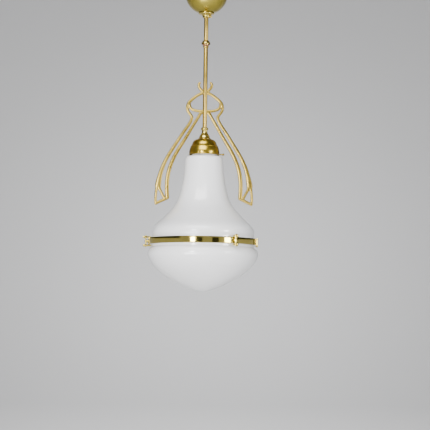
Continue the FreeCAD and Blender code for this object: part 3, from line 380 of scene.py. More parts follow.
cup_inner = cup_radius - cup_wall
cup_line = outline(
    (cup_radius, cup_rim), ("line", (cup_radius, cup_middle)),
    ("arc", (cup_radius * diagonal, cup_middle - cup_radius * diagonal), (ball_width(cup_radius, cup_floor), cup_floor)),
    ("line", (spigot_hole, cup_floor), (spigot_hole, cup_floor + cup_wall),
     (ball_width(cup_inner, cup_floor + cup_wall), cup_floor + cup_wall)),
    ("arc", (cup_inner * diagonal, cup_middle - cup_inner * diagonal), (cup_inner, cup_middle)),
    ("line", (cup_inner, cup_rim)))
fitted("spun_canopy", edged(lathe(cup_line, segments=192), 0.25 * MM), spun_brass, "canopy_cup")

# The collar is turned from bar: a bead under the canopy, a hollow flare and a straight neck. A nut
# on its spigot clamps the canopy, and a set screw through the neck holds both up on the tube.
turned_brass = brass("turned_brass_lacquered", (0.66, 0.53, 0.14), (0.48, 0.37, 0.075), 0.25, AROUND_AXIS)
collar_low, collar_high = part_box("canopy_collar")
collar_level = cup_low.z
neck_end = (collar_low.z - collar_level) / MM
spigot_top = (collar_high.z - collar_level) / MM
bead_radius = collar_high.x / MM
collar_line = outline(
    (5.1, neck_end), ("line", (8.2, neck_end)), ("arc", (8.5, neck_end + 0.15), (8.6, neck_end + 0.5)),
    ("line", (8.6, neck_end + 2.6)),
    ("curve", (9.4, -7.6), (11.8, -5.7), (bead_radius * 0.85, -4.5)),
    ("line", (bead_radius * 0.85, -4.2)),
    ("arc", (bead_radius, -2.2), (bead_radius - 1.3, -0.1)),
    ("line", (6.9, 0.0), (6.9, spigot_top), (5.1, spigot_top)))
screw_azimuth = 75.0
fitted("turned_collar", edged(lathe(collar_line, collar_level), 0.15 * MM), turned_brass, "canopy_collar")
kept(turned_brass, "canopy_nut")


def radial(mesh, azimuth, level):
    """A mesh that lies along +X turned to this azimuth and set at this level."""
    mesh.transform(Matrix.Translation((0, 0, level)) @ Matrix.Rotation(math.radians(azimuth - 90), 4, "Z"))
    return mesh


def lying(points):
    """A small turned mesh whose axis lies along +X, from (radius, distance) points."""
    mesh = lathe(points, segments=48)
    mesh.transform(Matrix.Rotation(math.radians(90), 4, "Y"))
    return mesh


def knurl_tree():
    """Ridges round a knob that lies along +X: a row of slim blocks on a circle."""
    tree = bpy.data.node_groups.new("knurled_ridges", "GeometryNodeTree")
    face = tree.interface
    face.new_socket("Geometry", in_out="INPUT", socket_type="NodeSocketGeometry")
    for title, kind in (("Ridges", "NodeSocketInt"), ("Radius", "NodeSocketFloat"), ("Start", "NodeSocketFloat"),
                        ("Length", "NodeSocketFloat"), ("Material", "NodeSocketMaterial")):
        face.new_socket(title, in_out="INPUT", socket_type=kind)
    face.new_socket("Geometry", in_out="OUTPUT", socket_type="NodeSocketGeometry")
    given = tree.nodes.new("NodeGroupInput")
    result = tree.nodes.new("NodeGroupOutput")
    link = Link(tree)
    sized = {socket.name: Link(tree, socket) for socket in given.outputs}
    circle = link.node("GeometryNodeMeshCircle", {"Vertices": sized["Ridges"], "Radius": sized["Radius"]})
    upright = link.node("GeometryNodeTransform", {
        "Geometry": circle, "Rotation": (0.0, math.radians(90), 0.0),
        "Translation": link.node("ShaderNodeCombineXYZ", {"X": sized["Start"] + sized["Length"] * 0.5})})
    spread = sized["Radius"] * 0.22
    ridge = link.node("GeometryNodeMeshCube", {
        "Size": link.node("ShaderNodeCombineXYZ", {"X": sized["Length"], "Y": spread, "Z": spread})})
    place = link.node("GeometryNodeInputPosition")
    across = link.node("ShaderNodeVectorMath", {0: place, 1: (0.0, 1.0, 1.0)}, operation="MULTIPLY")
    facing = link.node("FunctionNodeAlignRotationToVector", {"Vector": across}, axis="Z", pivot_axis="X")
    ridges = link.node("GeometryNodeInstanceOnPoints", {"Points": upright, "Instance": ridge, "Rotation": facing})
    joined = tree.nodes.new("GeometryNodeJoinGeometry")
    tree.links.new(given.outputs["Geometry"], joined.inputs[0])
    tree.links.new(ridges.socket, joined.inputs[0])
    real = link.node("GeometryNodeRealizeInstances", {"Geometry": Link(tree, joined.outputs[0])})
    coated = link.node("GeometryNodeSetMaterial", {"Geometry": real, "Material": sized["Material"]})
    tree.links.new(coated.socket, result.inputs[0])
    return tree


def grown(mesh, tree, **inputs):
    """The plain mesh that a geometry tree makes of this one."""
    holder = shown("grown", mesh)
    modifier = holder.modifiers.new("tree", "NODES")
    modifier.node_group = tree
    for item in tree.interface.items_tree:
        if item.item_type == "SOCKET" and item.in_out == "INPUT" and item.name in inputs:
            modifier[item.identifier] = inputs[item.name]
    evaluated = holder.evaluated_get(bpy.context.evaluated_depsgraph_get())
    result = bpy.data.meshes.new_from_object(evaluated)
    bpy.data.objects.remove(holder)
    return result


knurls = knurl_tree()
neck_radius = 8.6
knob_line = [(0.0, 5.1), (1.2, 5.1), (1.5, 5.5), (1.5, neck_radius + 1.6), (2.3, neck_radius + 1.6),
             (2.6, neck_radius + 2.0), (2.6, neck_radius + 4.0), (2.2, neck_radius + 4.4), (0.0, neck_radius + 4.4)]
set_screw = grown(edged(lying(knob_line), 0.1 * MM), knurls, Ridges=20, Radius=2.55 * MM,
                  Start=(neck_radius + 2.1) * MM, Length=1.8 * MM, Material=turned_brass.material)
fitted("knurled_set_screw", smoothed(radial(set_screw, screw_azimuth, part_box("collar_screw")[0].z + 2.7 * MM)),
       turned_brass, "collar_screw")

# The stem: drawn brass lamp tube in two lengths, satin-brushed round and lacquered. The upper one
# has a slot inside the canopy, where the conductors come out.
ALONG_TUBE = (1500.0, 1500.0, 90.0)
satin_brass = brass("satin_brass_drawn", (0.53, 0.37, 0.085), (0.41, 0.28, 0.055), 0.33, ALONG_TUBE)


def tube_mesh(node):
    low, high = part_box(node)
    return lathe([(4.0, low.z / MM), (5.0, low.z / MM), (5.0, high.z / MM), (4.0, high.z / MM)], segments=64)


outlet = bmesh.new()
bmesh.ops.create_cube(outlet, size=1.0)
cutter_mesh = bpy.data.meshes.new("outlet")
outlet.to_mesh(cutter_mesh)
outlet.free()
cutter_mesh.transform(Matrix.Translation((0, -5 * MM, -39.5 * MM)) @ Matrix.Diagonal((6 * MM, 8 * MM, 13 * MM, 1)))
cutter = shown("outlet_cutter", cutter_mesh)
upper = applied(tube_mesh("upper_tube"), ("BOOLEAN", {"operation": "DIFFERENCE", "object": cutter, "solver": "EXACT"}))
bpy.data.objects.remove(cutter)
fitted("upper_stem", edged(upper, 0.15 * MM), satin_brass, "upper_tube")
fitted("lower_stem", edged(tube_mesh("lower_tube"), 0.15 * MM), satin_brass, "lower_tube")

# The swivel joint: a drilled ball on the lower tube turns in a round housing of two halves, which
# screw together at their equator, between two fibre rings.
joint_low, joint_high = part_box("joint_housing_lower")
joint_middle = joint_high.z
housing_radius = joint_high.x / MM
cavity = 7.7
seam = 0.15
housing_brass = brass("satin_brass_ball", (0.72, 0.53, 0.155), (0.54, 0.38, 0.09), 0.27, AROUND_AXIS)


def half_ball(top_radius, bore_radius, sign):
    """Half of the housing: (radius, height) points from the equator to the mouth."""
    start = math.sqrt(top_radius**2 - seam**2)
    mouth = math.sqrt(top_radius**2 - bore_radius[0] ** 2)
    inner_mouth = math.sqrt(cavity**2 - bore_radius[1] ** 2)
    middle = math.sqrt(0.5)
    return outline(
        (start - 0.25, 0.0), ("line", (start, sign * seam * 2)),
        ("arc", (top_radius * middle, sign * top_radius * middle), (bore_radius[0], sign * mouth)),
        ("line", (bore_radius[1], sign * inner_mouth)),
        ("arc", (cavity * middle, sign * cavity * middle), (cavity, 0.0)))


fitted("housing_upper_half", edged(lathe(half_ball(housing_radius, (5.05, 5.05), 1), joint_middle), 0.1 * MM),
       housing_brass, "joint_housing_upper")
fitted("housing_lower_half", edged(lathe(half_ball(housing_radius, (7.3, 6.15), -1), joint_middle), 0.1 * MM),
       housing_brass, "joint_housing_lower")
kept(housing_brass, "joint_ball")
fibre = Surface("fibre_washer", Roughness=0.7)
fibre.feed("Base Color", fibre.between(fibre.noise(900.0, 4.0), (0.20, 0.07, 0.035), (0.30, 0.12, 0.06)))
fibre.relief(fibre.noise(2400.0), 0.02 * MM, 0.4)
kept(fibre, "joint_pressure_washer", "joint_seat_ring")

# The side arms: one pierced sand casting on each side of the stem, filed round on both faces,
# satin-brushed and brazed to the tube at two pads. Strands are (out, up, width share) in mm from
# the lower pad.
tube_radius = 5.0
arm_low, arm_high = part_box("arm_right")
arm_drop = 158.4
arm_level = joint_middle - arm_drop * MM
strand_width = 8.0 * MM
strand_depth = arm_high.y - arm_low.y
STRANDS = [
    # hook over the upper pad
    [(10.8, 68.4, 0.55), (13.6, 66.8, 0.7), (15.2, 62.0, 0.8), (13.4, 56.0, 0.8), (9.4, 51.0, 0.8),
     (5.5, 47.0, 0.85), (2.5, 43.6, 1.0)],
    # upper pad out to the widest place of the loop and on to its waist
    [(2.5, 45.5, 1.3), (9.5, 42.2, 0.9), (19.6, 36.5, 0.85), (29.8, 28.5, 0.9), (37.2, 20.6, 0.95),
     (40.6, 12.0, 0.9), (40.0, 3.0, 0.85), (35.4, -4.8, 0.8), (30.2, -13.3, 0.85), (32.2, -21.8, 0.9),
     (45.2, -42.6, 0.92), (60.0, -65.4, 0.96), (74.6, -88.6, 1.0), (87.3, -110.6, 1.06),
     (96.2, -131.0, 1.18), (102.4, -152.0, 1.36), (105.4, -168.0, 1.7), (106.6, -176.0, 1.8)],
    # inner side of the loop, back to the lower pad
    [(36.2, 21.0, 0.8), (35.6, 14.0, 0.8), (32.6, 7.6, 0.8), (25.6, 3.4, 0.8), (16.0, 1.4, 0.8), (2.5, 1.4, 0.9)],
    # inner strand from the lower pad to the foot
    [(2.5, 0.5, 1.3), (8.6, -3.0, 1.0), (14.0, -11.0, 0.88), (18.8, -19.6, 0.88), (24.8, -29.4, 0.9),
     (37.0, -50.7, 0.92), (49.6, -71.5, 0.98), (62.4, -92.6, 1.05), (73.0, -114.0, 1.1), (80.4, -135.0, 1.15),
     (84.2, -155.0, 1.18), (85.4, -176.0, 1.18), (84.2, -202.0, 1.15)],
    # outer and inner legs of the fork
    [(106.4, -172.0, 1.3), (109.4, -182.0, 0.85), (111.0, -194.0, 0.75), (111.4, -205.0, 0.75),
     (110.6, -216.0, 0.75)],
    [(105.4, -172.0, 1.3), (102.2, -181.5, 0.9), (97.2, -191.0, 0.78), (92.4, -200.0, 0.85),
     (88.5, -205.0, 1.0)],
    # slanting foot
    [(81.5, -201.0, 0.85), (97.0, -208.4, 0.85), (112.8, -216.2, 0.8)],
]


def strand(shape, points, around_count=20):
    """One strand as a closed bar of rounded section along a smooth line."""
    line = [Vector(stop) for stop in [points[0]] + [tuple(map(float, stop)) for stop in spline_points(points)]]
    rings = []
    for i, stop in enumerate(line):
        way = line[min(i + 1, len(line) - 1)] - line[max(i - 1, 0)]
        way = Vector((way.x, 0, way.y)).normalized()
        side = Vector((way.z, 0, -way.x))
        centre = Vector((stop.x * MM, 0, arm_level + stop.y * MM))
        half_width, half_depth = strand_width * stop.z / 2, strand_depth / 2
        ring = []
        for k in range(around_count):
            turn = 2 * math.pi * k / around_count
            flat_cos = math.copysign(abs(math.cos(turn)) ** 0.75, math.cos(turn))
            flat_sin = math.copysign(abs(math.sin(turn)) ** 0.75, math.sin(turn))
            ring.append(shape.verts.new(centre + side * half_width * flat_cos + Vector((0, half_depth * flat_sin, 0))))
        rings.append(ring)
    for low, high in zip(rings, rings[1:]):
        for k in range(around_count):
            shape.faces.new((low[k], low[(k + 1) % around_count], high[(k + 1) % around_count], high[k]))
    shape.faces.new(rings[0])
    shape.faces.new(rings[-1])


def casting(side):
    """The arm's strands run together into one smooth casting that sits on the tube."""
    shape = bmesh.new()
    for points in STRANDS:
        strand(shape, points)
    bmesh.ops.recalc_face_normals(shape, faces=shape.faces)
    mesh = bpy.data.meshes.new("casting")
    shape.to_mesh(mesh)
    shape.free()
    mesh = applied(mesh, ("REMESH", {"mode": "VOXEL", "voxel_size": 0.55 * MM}),
                   ("SMOOTH", {"factor": 0.5, "iterations": 7}))
    flat = np.zeros(len(mesh.vertices) * 3)
    mesh.vertices.foreach_get("co", flat)
    places = flat.reshape(-1, 3)
    away = np.hypot(places[:, 0], places[:, 1])
    inside = away < tube_radius * MM
    places[inside, :2] *= (tube_radius * MM / np.maximum(away[inside], 1e-6))[:, None]
    places[:, 0] *= side
    mesh.vertices.foreach_set("co", places.ravel())
    if side < 0:
        mesh.flip_normals()
    return smoothed(mesh, 60.0)


cast_brass = brass("cast_brass_brushed", (0.54, 0.385, 0.085), (0.36, 0.245, 0.04), 0.30, (420.0, 420.0, 420.0),
                   haze=0.14)
fitted("casting_left", casting(-1), cast_brass, "arm_left")
fitted("casting_right", casting(1), cast_brass, "arm_right")

# The gallery: a turned trumpet over the tube's lower thread, and a cup spun from sheet brass, a dome
# over a stepped skirt with a rolled rim. Three knurled thumb screws in the skirt hold the glass.
gallery_low, gallery_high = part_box("gallery_cup")
rim_level = gallery_low.z
dome = (gallery_high.z - rim_level) / MM
trumpet_low, trumpet_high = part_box("gallery_trumpet")
foot = trumpet_high.x / MM
height = (trumpet_high.z - trumpet_low.z) / MM
tube_hole = 5.05
trumpet_line = outline(
    (tube_hole, 0.0), ("line", (foot - 0.3, 0.0)), ("arc", (foot, 0.5), (foot - 0.3, 1.1)),
    ("line", (foot - 1.1, 1.3)),
    ("curve", (foot - 2.6, 3.2), (foot - 4.0, 7.2), (8.8, 11.6), (6.6, height - 10.6), (6.4, height - 6.6)),
    ("line", (6.6, height - 6.2)),
    ("arc", (8.2, height - 5.2), (8.7, height - 3.9)), ("line", (8.0, height - 3.3)),
    ("arc", (8.5, height - 2.4), (8.2, height - 1.4)),
    ("line", (7.6, height), (tube_hole, height)))
fitted("turned_trumpet", edged(lathe(trumpet_line, trumpet_low.z), 0.12 * MM), turned_brass, "gallery_trumpet")

gallery_brass = brass("gallery_brass_lacquered", (0.58, 0.41, 0.065), (0.36, 0.25, 0.025), 0.29, AROUND_AXIS)
skirt_radius = 35.4
step_radius = 31.2
step = 19.4
sheet = 0.8
dome_stops = [(16.8, dome - 0.3), (step_radius * 0.76, dome - 3.2), (step_radius * 0.88, dome - 8.6),
              (step_radius * 0.95, step + 3.6), (step_radius - 0.1, step + 1.4)]
skirt_stops = [(step_radius + 1.0, step - 1.0), (skirt_radius - 1.9, step * 0.74), (skirt_radius - 0.6, step * 0.5),
               (skirt_radius - 0.3, 2.6)]
inner_skirt = [(radius - sheet, up) for radius, up in skirt_stops]
inner_dome = [(radius - sheet * 0.75, up - sheet * 0.65) for radius, up in dome_stops]
cup_line = outline(
    (tube_hole, dome), ("line", (16.0, dome)), ("curve", *dome_stops),
    ("line", (step_radius + 0.35, step + 1.0)), ("arc", (step_radius + 1.05, step + 0.2), (step_radius + 0.8, step - 0.6)),
    ("curve", skirt_stops[0], *skirt_stops[1:]),
    ("line", (skirt_radius + 0.1, 2.2)), ("arc", (skirt_radius + 0.6, 1.1), (skirt_radius, 0.0)),
    ("line", (skirt_radius - 1.1, 0.0), inner_skirt[-1]),
    ("curve", *reversed(inner_skirt[:-1])), ("line", inner_dome[-1]),
    ("curve", *reversed(inner_dome[:-1]), (16.0, dome - sheet)),
    ("line", (tube_hole, dome - sheet)))
fitted("spun_gallery", smoothed(lathe(cup_line, rim_level, segments=192)), gallery_brass, "gallery_cup")

thumb_line = [(0.0, 30.1), (1.2, 30.1), (1.5, 30.5), (1.5, 43.1), (1.9, 43.1), (2.3, 43.5), (2.3, 46.8),
              (1.9, 47.3), (0.8, 47.5), (0.0, 47.5)]
for number in (1, 2, 3):
    azimuth = 103.0 + 120.0 * (number - 1)
    thumb = grown(edged(lying(thumb_line), 0.1 * MM), knurls, Ridges=18, Radius=2.3 * MM, Start=43.7 * MM,
                  Length=2.9 * MM, Material=gallery_brass.material)
    fitted(f"knurled_thumb_screw_{number}", smoothed(radial(thumb, azimuth, rim_level + 2.6 * MM)),
           gallery_brass, f"gallery_screw_{number}")
kept(gallery_brass, "gallery_bushes", "gallery_locknut")

# The glass: opal bell and bowl, blown of clear glass over a white layer and fire-polished. Each ends
# in a rolled bead, and the two beads meet inside the ring. Heights count from the ring's middle.
opal = Surface("blown_opal_glass", Roughness=0.32, IOR=1.5, Coat_Weight=1.0, Coat_Roughness=0.04, Coat_IOR=1.5,
               Subsurface_Weight=0.25, Subsurface_Radius=(0.012, 0.012, 0.011), Subsurface_Scale=1.0)
milk = opal.noise(16.0, 3.0)
opal.feed("Base Color", opal.between(milk, (0.865, 0.865, 0.862), (0.90, 0.90, 0.90)))
sway = opal.noise(9.0, 1.0, stretch=(1.0, 1.0, 0.6))
seeds = opal.noise(260.0, 1.0)
opal.feed("Roughness", 0.30 + milk * 0.05)
opal.relief(sway + seeds * 0.01, 0.8 * MM, 0.3)

bell_low, bell_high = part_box("upper_glass")
bowl_low, bowl_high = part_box("bowl")
ring_low, ring_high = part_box("ring_band")
ring_level = (ring_low.z + ring_high.z) / 2
glass_top = (bell_high.z - ring_level) / MM
bowl_depth = (bowl_low.z - ring_level) / MM
bowl_radius = bowl_high.x / MM
glass_wall = 3.0
bead_radius = 124.5
bead_gap = 0.3
bead_top = 7.4
neck_radius = 117.3
screw_room = 12.3


def inset(points, depth):
    """The points moved by depth to the right of their direction of travel."""
    moved = []
    for i, (x, z) in enumerate(points):
        before, after = points[max(i - 1, 0)], points[min(i + 1, len(points) - 1)]
        dx, dz = after[0] - before[0], after[1] - before[1]
        run = math.hypot(dx, dz)
        moved.append((x + depth * dz / run, z - depth * dx / run))
    return moved


BELL = [(0.88, 0.024), (0.731, 0.058), (0.611, 0.112), (0.506, 0.17), (0.417, 0.248), (0.328, 0.382),
        (0.237, 0.575), (0.165, 0.743), (0.089, 0.918), (0.04, 0.984)]
shoulder_radius, shoulder = 43.7, glass_top - 22.2
bell_radius, bell_foot = 118.7, 21.0
groove_radius, groove_end = 29.6, glass_top - 15.0
bell_stops = [(shoulder_radius, shoulder)]
bell_stops += [(shoulder_radius + v * (bell_radius - shoulder_radius), bell_foot + u * (shoulder - bell_foot))
               for u, v in BELL]
bell_stops += [(bell_radius, bell_foot), (neck_radius, screw_room)]
bell_inner = inset(bell_stops[:-1], glass_wall)
roll = (bead_top - bead_gap) / 2
bell_line = outline(
    (33.3 - 1.5, glass_top), ("line", (33.3, glass_top - 2.2), (33.3, glass_top - 6.4)), ("arc", (33.0, glass_top - 7.4), (groove_radius + 0.6, glass_top - 7.9)),
    ("line", (groove_radius, glass_top - 8.6), (groove_radius, groove_end + 0.8)),
    ("curve", (groove_radius + 4.5, groove_end - 1.1), (shoulder_radius - 2.6, groove_end - 3.6), bell_stops[0]),
    ("curve", *bell_stops[1:]),
    ("line", (neck_radius, bead_top + 0.8), (neck_radius + 1.0, bead_top)),
    ("line", (bead_radius - roll, bead_top)),
    ("arc", (bead_radius, bead_gap + roll), (bead_radius - roll, bead_gap)),
    ("line", (neck_radius - 1.2, bead_gap), (neck_radius - glass_wall, bead_top)),
    ("line", (neck_radius - glass_wall, screw_room), bell_inner[-1]),
    ("curve", *reversed(bell_inner[:-1])),
    ("line", (groove_radius - glass_wall, groove_end - glass_wall), (groove_radius - glass_wall, glass_top)))
fitted("opal_bell", smoothed(lathe(bell_line, ring_level, segments=256), 50.0), opal, "upper_glass")

BOWL = [(0.13, 0.97), (0.239, 0.927), (0.351, 0.866), (0.461, 0.788), (0.571, 0.69), (0.681, 0.573), (0.792, 0.434),
        (0.901, 0.268), (0.967, 0.138)]
bowl_wall = 3.5
belly = -29.0
bowl_stops = [(neck_radius, -screw_room), (neck_radius + (bowl_radius - neck_radius) * 0.62,
                                            -screw_room + (belly + screw_room) * 0.27), (bowl_radius, belly)]
bowl_stops += [(v * bowl_radius, belly + u * (bowl_depth - belly)) for u, v in BOWL]
bowl_stops.append((0.0, bowl_depth))
bowl_inner = inset(bowl_stops, bowl_wall)
bowl_inner[-1] = (0.0, bowl_depth + bowl_wall)


def through_axis(stops):
    """The smooth line down to the axis, level where it crosses it."""
    mirrored = [(-radius, up) for radius, up in reversed(stops[-4:-1])]
    line = spline_points(stops + mirrored)
    return line[: 8 * (len(stops) - 1) - 1] + [(0.0, stops[-1][1])]


bowl_line = outline((bead_radius - roll, -bead_gap), ("arc", (bead_radius, -bead_gap - roll), (bead_radius - roll, -bead_top)),
                    ("line", (neck_radius + 1.0, -bead_top), (neck_radius, -bead_top - 0.8), bowl_stops[0]))
bowl_line += through_axis(bowl_stops)
bowl_line += list(reversed([bowl_inner[0]] + through_axis(bowl_inner)))
bowl_line += [(neck_radius - glass_wall, -bead_top), (neck_radius - 1.2, -bead_gap)]
fitted("opal_bowl", smoothed(lathe(bowl_line, ring_level, segments=256), 50.0), opal, "bowl")

# The ring: a strip of brass rolled into a hoop that is split at its closure, polished to a mirror
# after rolling. Its tree sweeps a strip's rounded section along an arc.
polished = Surface("polished_brass", Metallic=1.0, Coat_Weight=0.05, Coat_Roughness=0.05)
blush = polished.noise(30.0, 3.0)
scratches = polished.noise(1.0, 2.0, stretch=(300.0, 300.0, 5200.0))
prints = polished.noise(70.0, 3.0) ** 3.0
polished.feed("Base Color", polished.between(blush, (0.60, 0.48, 0.11), (0.70, 0.57, 0.15)))
polished.feed("Roughness", 0.045 + scratches * 0.04 + prints * 0.16)
polished.relief(scratches, 0.008 * MM, 0.3)

ring_radius = 127.5
ring_thick = 1.5
ring_height = (ring_high.z - ring_low.z) / MM
closure_azimuth = 72.0
closure_gap = 1.6


def hoop_tree():
    """A split hoop: a strip's section swept along an arc that stops short of a full turn."""
    tree = bpy.data.node_groups.new("split_hoop", "GeometryNodeTree")
    face = tree.interface
    face.new_socket("Geometry", in_out="INPUT", socket_type="NodeSocketGeometry")
    for title, kind in (("Radius", "NodeSocketFloat"), ("Height", "NodeSocketFloat"), ("Thickness", "NodeSocketFloat"),
                        ("Edge", "NodeSocketFloat"), ("Start", "NodeSocketFloat"), ("Sweep", "NodeSocketFloat"),
                        ("Material", "NodeSocketMaterial")):
        face.new_socket(title, in_out="INPUT", socket_type=kind)
    face.new_socket("Geometry", in_out="OUTPUT", socket_type="NodeSocketGeometry")
    link = Link(tree)
    given = tree.nodes.new("NodeGroupInput")
    sized = {socket.name: Link(tree, socket) for socket in given.outputs}
    result = tree.nodes.new("NodeGroupOutput")
    arc = link.node("GeometryNodeCurveArc", {"Resolution": 360, "Radius": sized["Radius"] - sized["Thickness"] * 0.5,
                                             "Start Angle": sized["Start"], "Sweep Angle": sized["Sweep"]})
    strip = link.node("GeometryNodeCurvePrimitiveQuadrilateral", {"Width": sized["Thickness"], "Height": sized["Height"]})
    rounded = link.node("GeometryNodeFilletCurve", {"Curve": strip, "Radius": sized["Edge"], "Count": 4}, mode="POLY")
    swept = link.node("GeometryNodeCurveToMesh", {"Curve": arc, "Profile Curve": rounded, "Fill Caps": True})
    real = link.node("GeometryNodeRealizeInstances", {"Geometry": swept})
    coated = link.node("GeometryNodeSetMaterial", {"Geometry": real, "Material": sized["Material"]})
    tree.links.new(coated.socket, result.inputs[0])
    return tree


half_gap = math.asin(closure_gap / 2 / ring_radius)
hoop = grown(bpy.data.meshes.new("hoop"), hoop_tree(), Radius=ring_radius * MM, Height=ring_height * MM,
             Thickness=ring_thick * MM, Edge=0.35 * MM, Start=math.radians(closure_azimuth - 90) + half_gap,
             Sweep=2 * math.pi - 2 * half_gap, Material=polished.material)
hoop.transform(Matrix.Translation((0, 0, ring_level)))
fitted("polished_hoop", smoothed(hoop, 40.0), polished, "ring_band")

# Three clips, a third of a turn apart: a waisted plate held off the ring by a spacer, riveted
# through its middle, with a clamping screw above the ring for the bell and one below for the bowl.
clip_azimuth = 35.0
plate_start = ring_radius + 3.0
plate_thick = 3.2
screw_pitch = 19.4
clip_height = 27.0
clip_width = 10.5


def polygon_plate(points, start, thick):
    """A flat plate, its outline in the Y-Z plane, standing from start along +X."""
    shape = bmesh.new()
    back = [shape.verts.new((start * MM, y * MM, z * MM)) for y, z in points]
    front = [shape.verts.new(((start + thick) * MM, y * MM, z * MM)) for y, z in points]
    shape.faces.new(back)
    shape.faces.new(front)
    for i in range(len(points)):
        j = (i + 1) % len(points)
        shape.faces.new((back[i], back[j], front[j], front[i]))
    bmesh.ops.recalc_face_normals(shape, faces=shape.faces)
    mesh = bpy.data.meshes.new("plate")
    shape.to_mesh(mesh)
    shape.free()
    return mesh


def merged(*meshes):
    """Several meshes as one."""
    shape = bmesh.new()
    for mesh in meshes:
        shape.from_mesh(mesh)
    mesh = bpy.data.meshes.new("merged")
    shape.to_mesh(mesh)
    shape.free()
    return mesh


half_high, half_wide = clip_height / 2, clip_width / 2
lobe = half_wide * 0.80
quarter = outline((lobe * 0.55, half_high), ("arc", (lobe * 0.9, half_high - 0.8), (lobe, half_high - 2.4)),
                  ("line", (lobe, screw_pitch / 2 - 3.4)),
                  ("curve", (lobe * 0.72, screw_pitch / 2 - 5.4), (half_wide * 0.86, 2.4), (half_wide, 0.0)))
right_side = quarter + [(y, -z) for y, z in reversed(quarter[:-1])]
plate_outline = right_side + [(-y, z) for y, z in reversed(right_side)]
spacer_line = [(1.62, ring_radius + 0.1), (3.4, ring_radius + 0.1), (3.4, plate_start + 0.2), (1.62, plate_start + 0.2)]
clip = merged(edged(polygon_plate(plate_outline, plate_start, plate_thick), 0.4 * MM, 3), edged(lying(spacer_line), 0.1 * MM))
plate_end = plate_start + plate_thick
rivet_line = outline((0.0, ring_radius - 2.4), ("line", (1.8, ring_radius - 2.4), (2.4, ring_radius - 2.0),
                                                  (2.4, ring_radius - 1.5), (1.6, ring_radius - 1.5),
                                                  (1.6, plate_end), (3.0, plate_end)),
                     ("arc", (2.1, plate_end + 0.85), (0.0, plate_end + 1.1)))


def round_tree():
    """Copies of a mesh round the lamp's axis."""
    tree = bpy.data.node_groups.new("set_round_the_axis", "GeometryNodeTree")
    face = tree.interface
    face.new_socket("Geometry", in_out="INPUT", socket_type="NodeSocketGeometry")
    for title, kind in (("Count", "NodeSocketInt"), ("First", "NodeSocketFloat"), ("Level", "NodeSocketFloat"),
                        ("Material", "NodeSocketMaterial")):
        face.new_socket(title, in_out="INPUT", socket_type=kind)
    face.new_socket("Geometry", in_out="OUTPUT", socket_type="NodeSocketGeometry")
    link = Link(tree)
    given = tree.nodes.new("NodeGroupInput")
    sized = {socket.name: Link(tree, socket) for socket in given.outputs}
    result = tree.nodes.new("NodeGroupOutput")
    spots = link.node("GeometryNodeMeshLine", {
        "Count": sized["Count"], "Offset": (0.0, 0.0, 0.0),
        "Start Location": link.node("ShaderNodeCombineXYZ", {"Z": sized["Level"]})})
    index = link.node("GeometryNodeInputIndex")
    angle = sized["First"] + index * (2 * math.pi) * (1.0 / 3.0)
    turn = link.node("ShaderNodeCombineXYZ", {"Z": angle})
    copies = link.node("GeometryNodeInstanceOnPoints", {"Points": spots, "Instance": sized["Geometry"], "Rotation": turn})
    real = link.node("GeometryNodeRealizeInstances", {"Geometry": copies})
    coated = link.node("GeometryNodeSetMaterial", {"Geometry": real, "Material": sized["Material"]})
    tree.links.new(coated.socket, result.inputs[0])
    return tree


set_round = round_tree()
first_turn = math.radians(clip_azimuth - 90)
clips = grown(clip, set_round, Count=3, First=first_turn, Level=ring_level, Material=polished.material)
fitted("waisted_clips", smoothed(clips), polished, "clip_bridges")
rivets = grown(edged(lying(rivet_line), 0.08 * MM), set_round, Count=3, First=first_turn, Level=ring_level,
               Material=polished.material)
fitted("domed_clip_rivets", smoothed(rivets), polished, "clip_rivets")

screw_line = outline(
    (0.0, ring_radius - 8.2), ("arc", (1.1, ring_radius - 8.0), (2.0, ring_radius - 7.5)),
    ("line", (2.0, plate_end + 0.3), (2.2, plate_end + 0.3), (2.6, plate_end + 0.7), (2.6, plate_end + 4.2)),
    ("arc", (1.9, plate_end + 5.0), (0.0, plate_end + 5.3)))
for row, sign in (("upper", 1), ("lower", -1)):
    for number in (1, 2, 3):
        azimuth = clip_azimuth + 120.0 * (number - 1)
        screw = grown(edged(lying(screw_line), 0.1 * MM), knurls, Ridges=20, Radius=2.45 * MM,
                      Start=(plate_end + 0.9) * MM, Length=3.1 * MM, Material=polished.material)
        fitted(f"knurled_clamp_screw_{row}_{number}",
               smoothed(radial(screw, azimuth, ring_level + sign * screw_pitch / 2 * MM)),
               polished, f"ring_screw_{row}_{number}")
kept(polished, "closure_leaf_left", "closure_leaf_right", "closure_rivets", "closing_pin")

# On the ceiling, inside the canopy: a bent zinc-plated steel bar with the tube locked in it by two
# nuts, and a nylon terminal block with brass sleeves.
zinc = Surface("zinc_plated_steel", Metallic=1.0)
spangle = zinc.noise(180.0, 4.0)
zinc.feed("Base Color", zinc.between(spangle, (0.50, 0.51, 0.54), (0.70, 0.69, 0.66)))
zinc.feed("Roughness", 0.34 + spangle * 0.18)
zinc.relief(zinc.noise(900.0, 3.0), 0.02 * MM, 0.4)
kept(zinc, "ceiling_bar", "tube_locknuts", "block_screw", "terminal_screws", "earth_screw", "lampholder_screws")
nylon = Surface("white_nylon", IOR=1.46)
bloom = nylon.noise(120.0, 3.0)
nylon.feed("Base Color", nylon.between(bloom, (0.74, 0.73, 0.69), (0.82, 0.81, 0.78)))
nylon.feed("Roughness", 0.42 + bloom * 0.12)
nylon.relief(nylon.noise(1500.0), 0.02 * MM, 0.3)
kept(nylon, "terminal_block")
contact_brass = brass("contact_brass_plain", (0.82, 0.62, 0.30), (0.62, 0.42, 0.18), 0.30, (500.0, 500.0, 500.0), coat=0.0)
kept(contact_brass, "terminal_sleeves", "earth_lug", "lampholder_shell", "lampholder_contact", "bulb_contact")

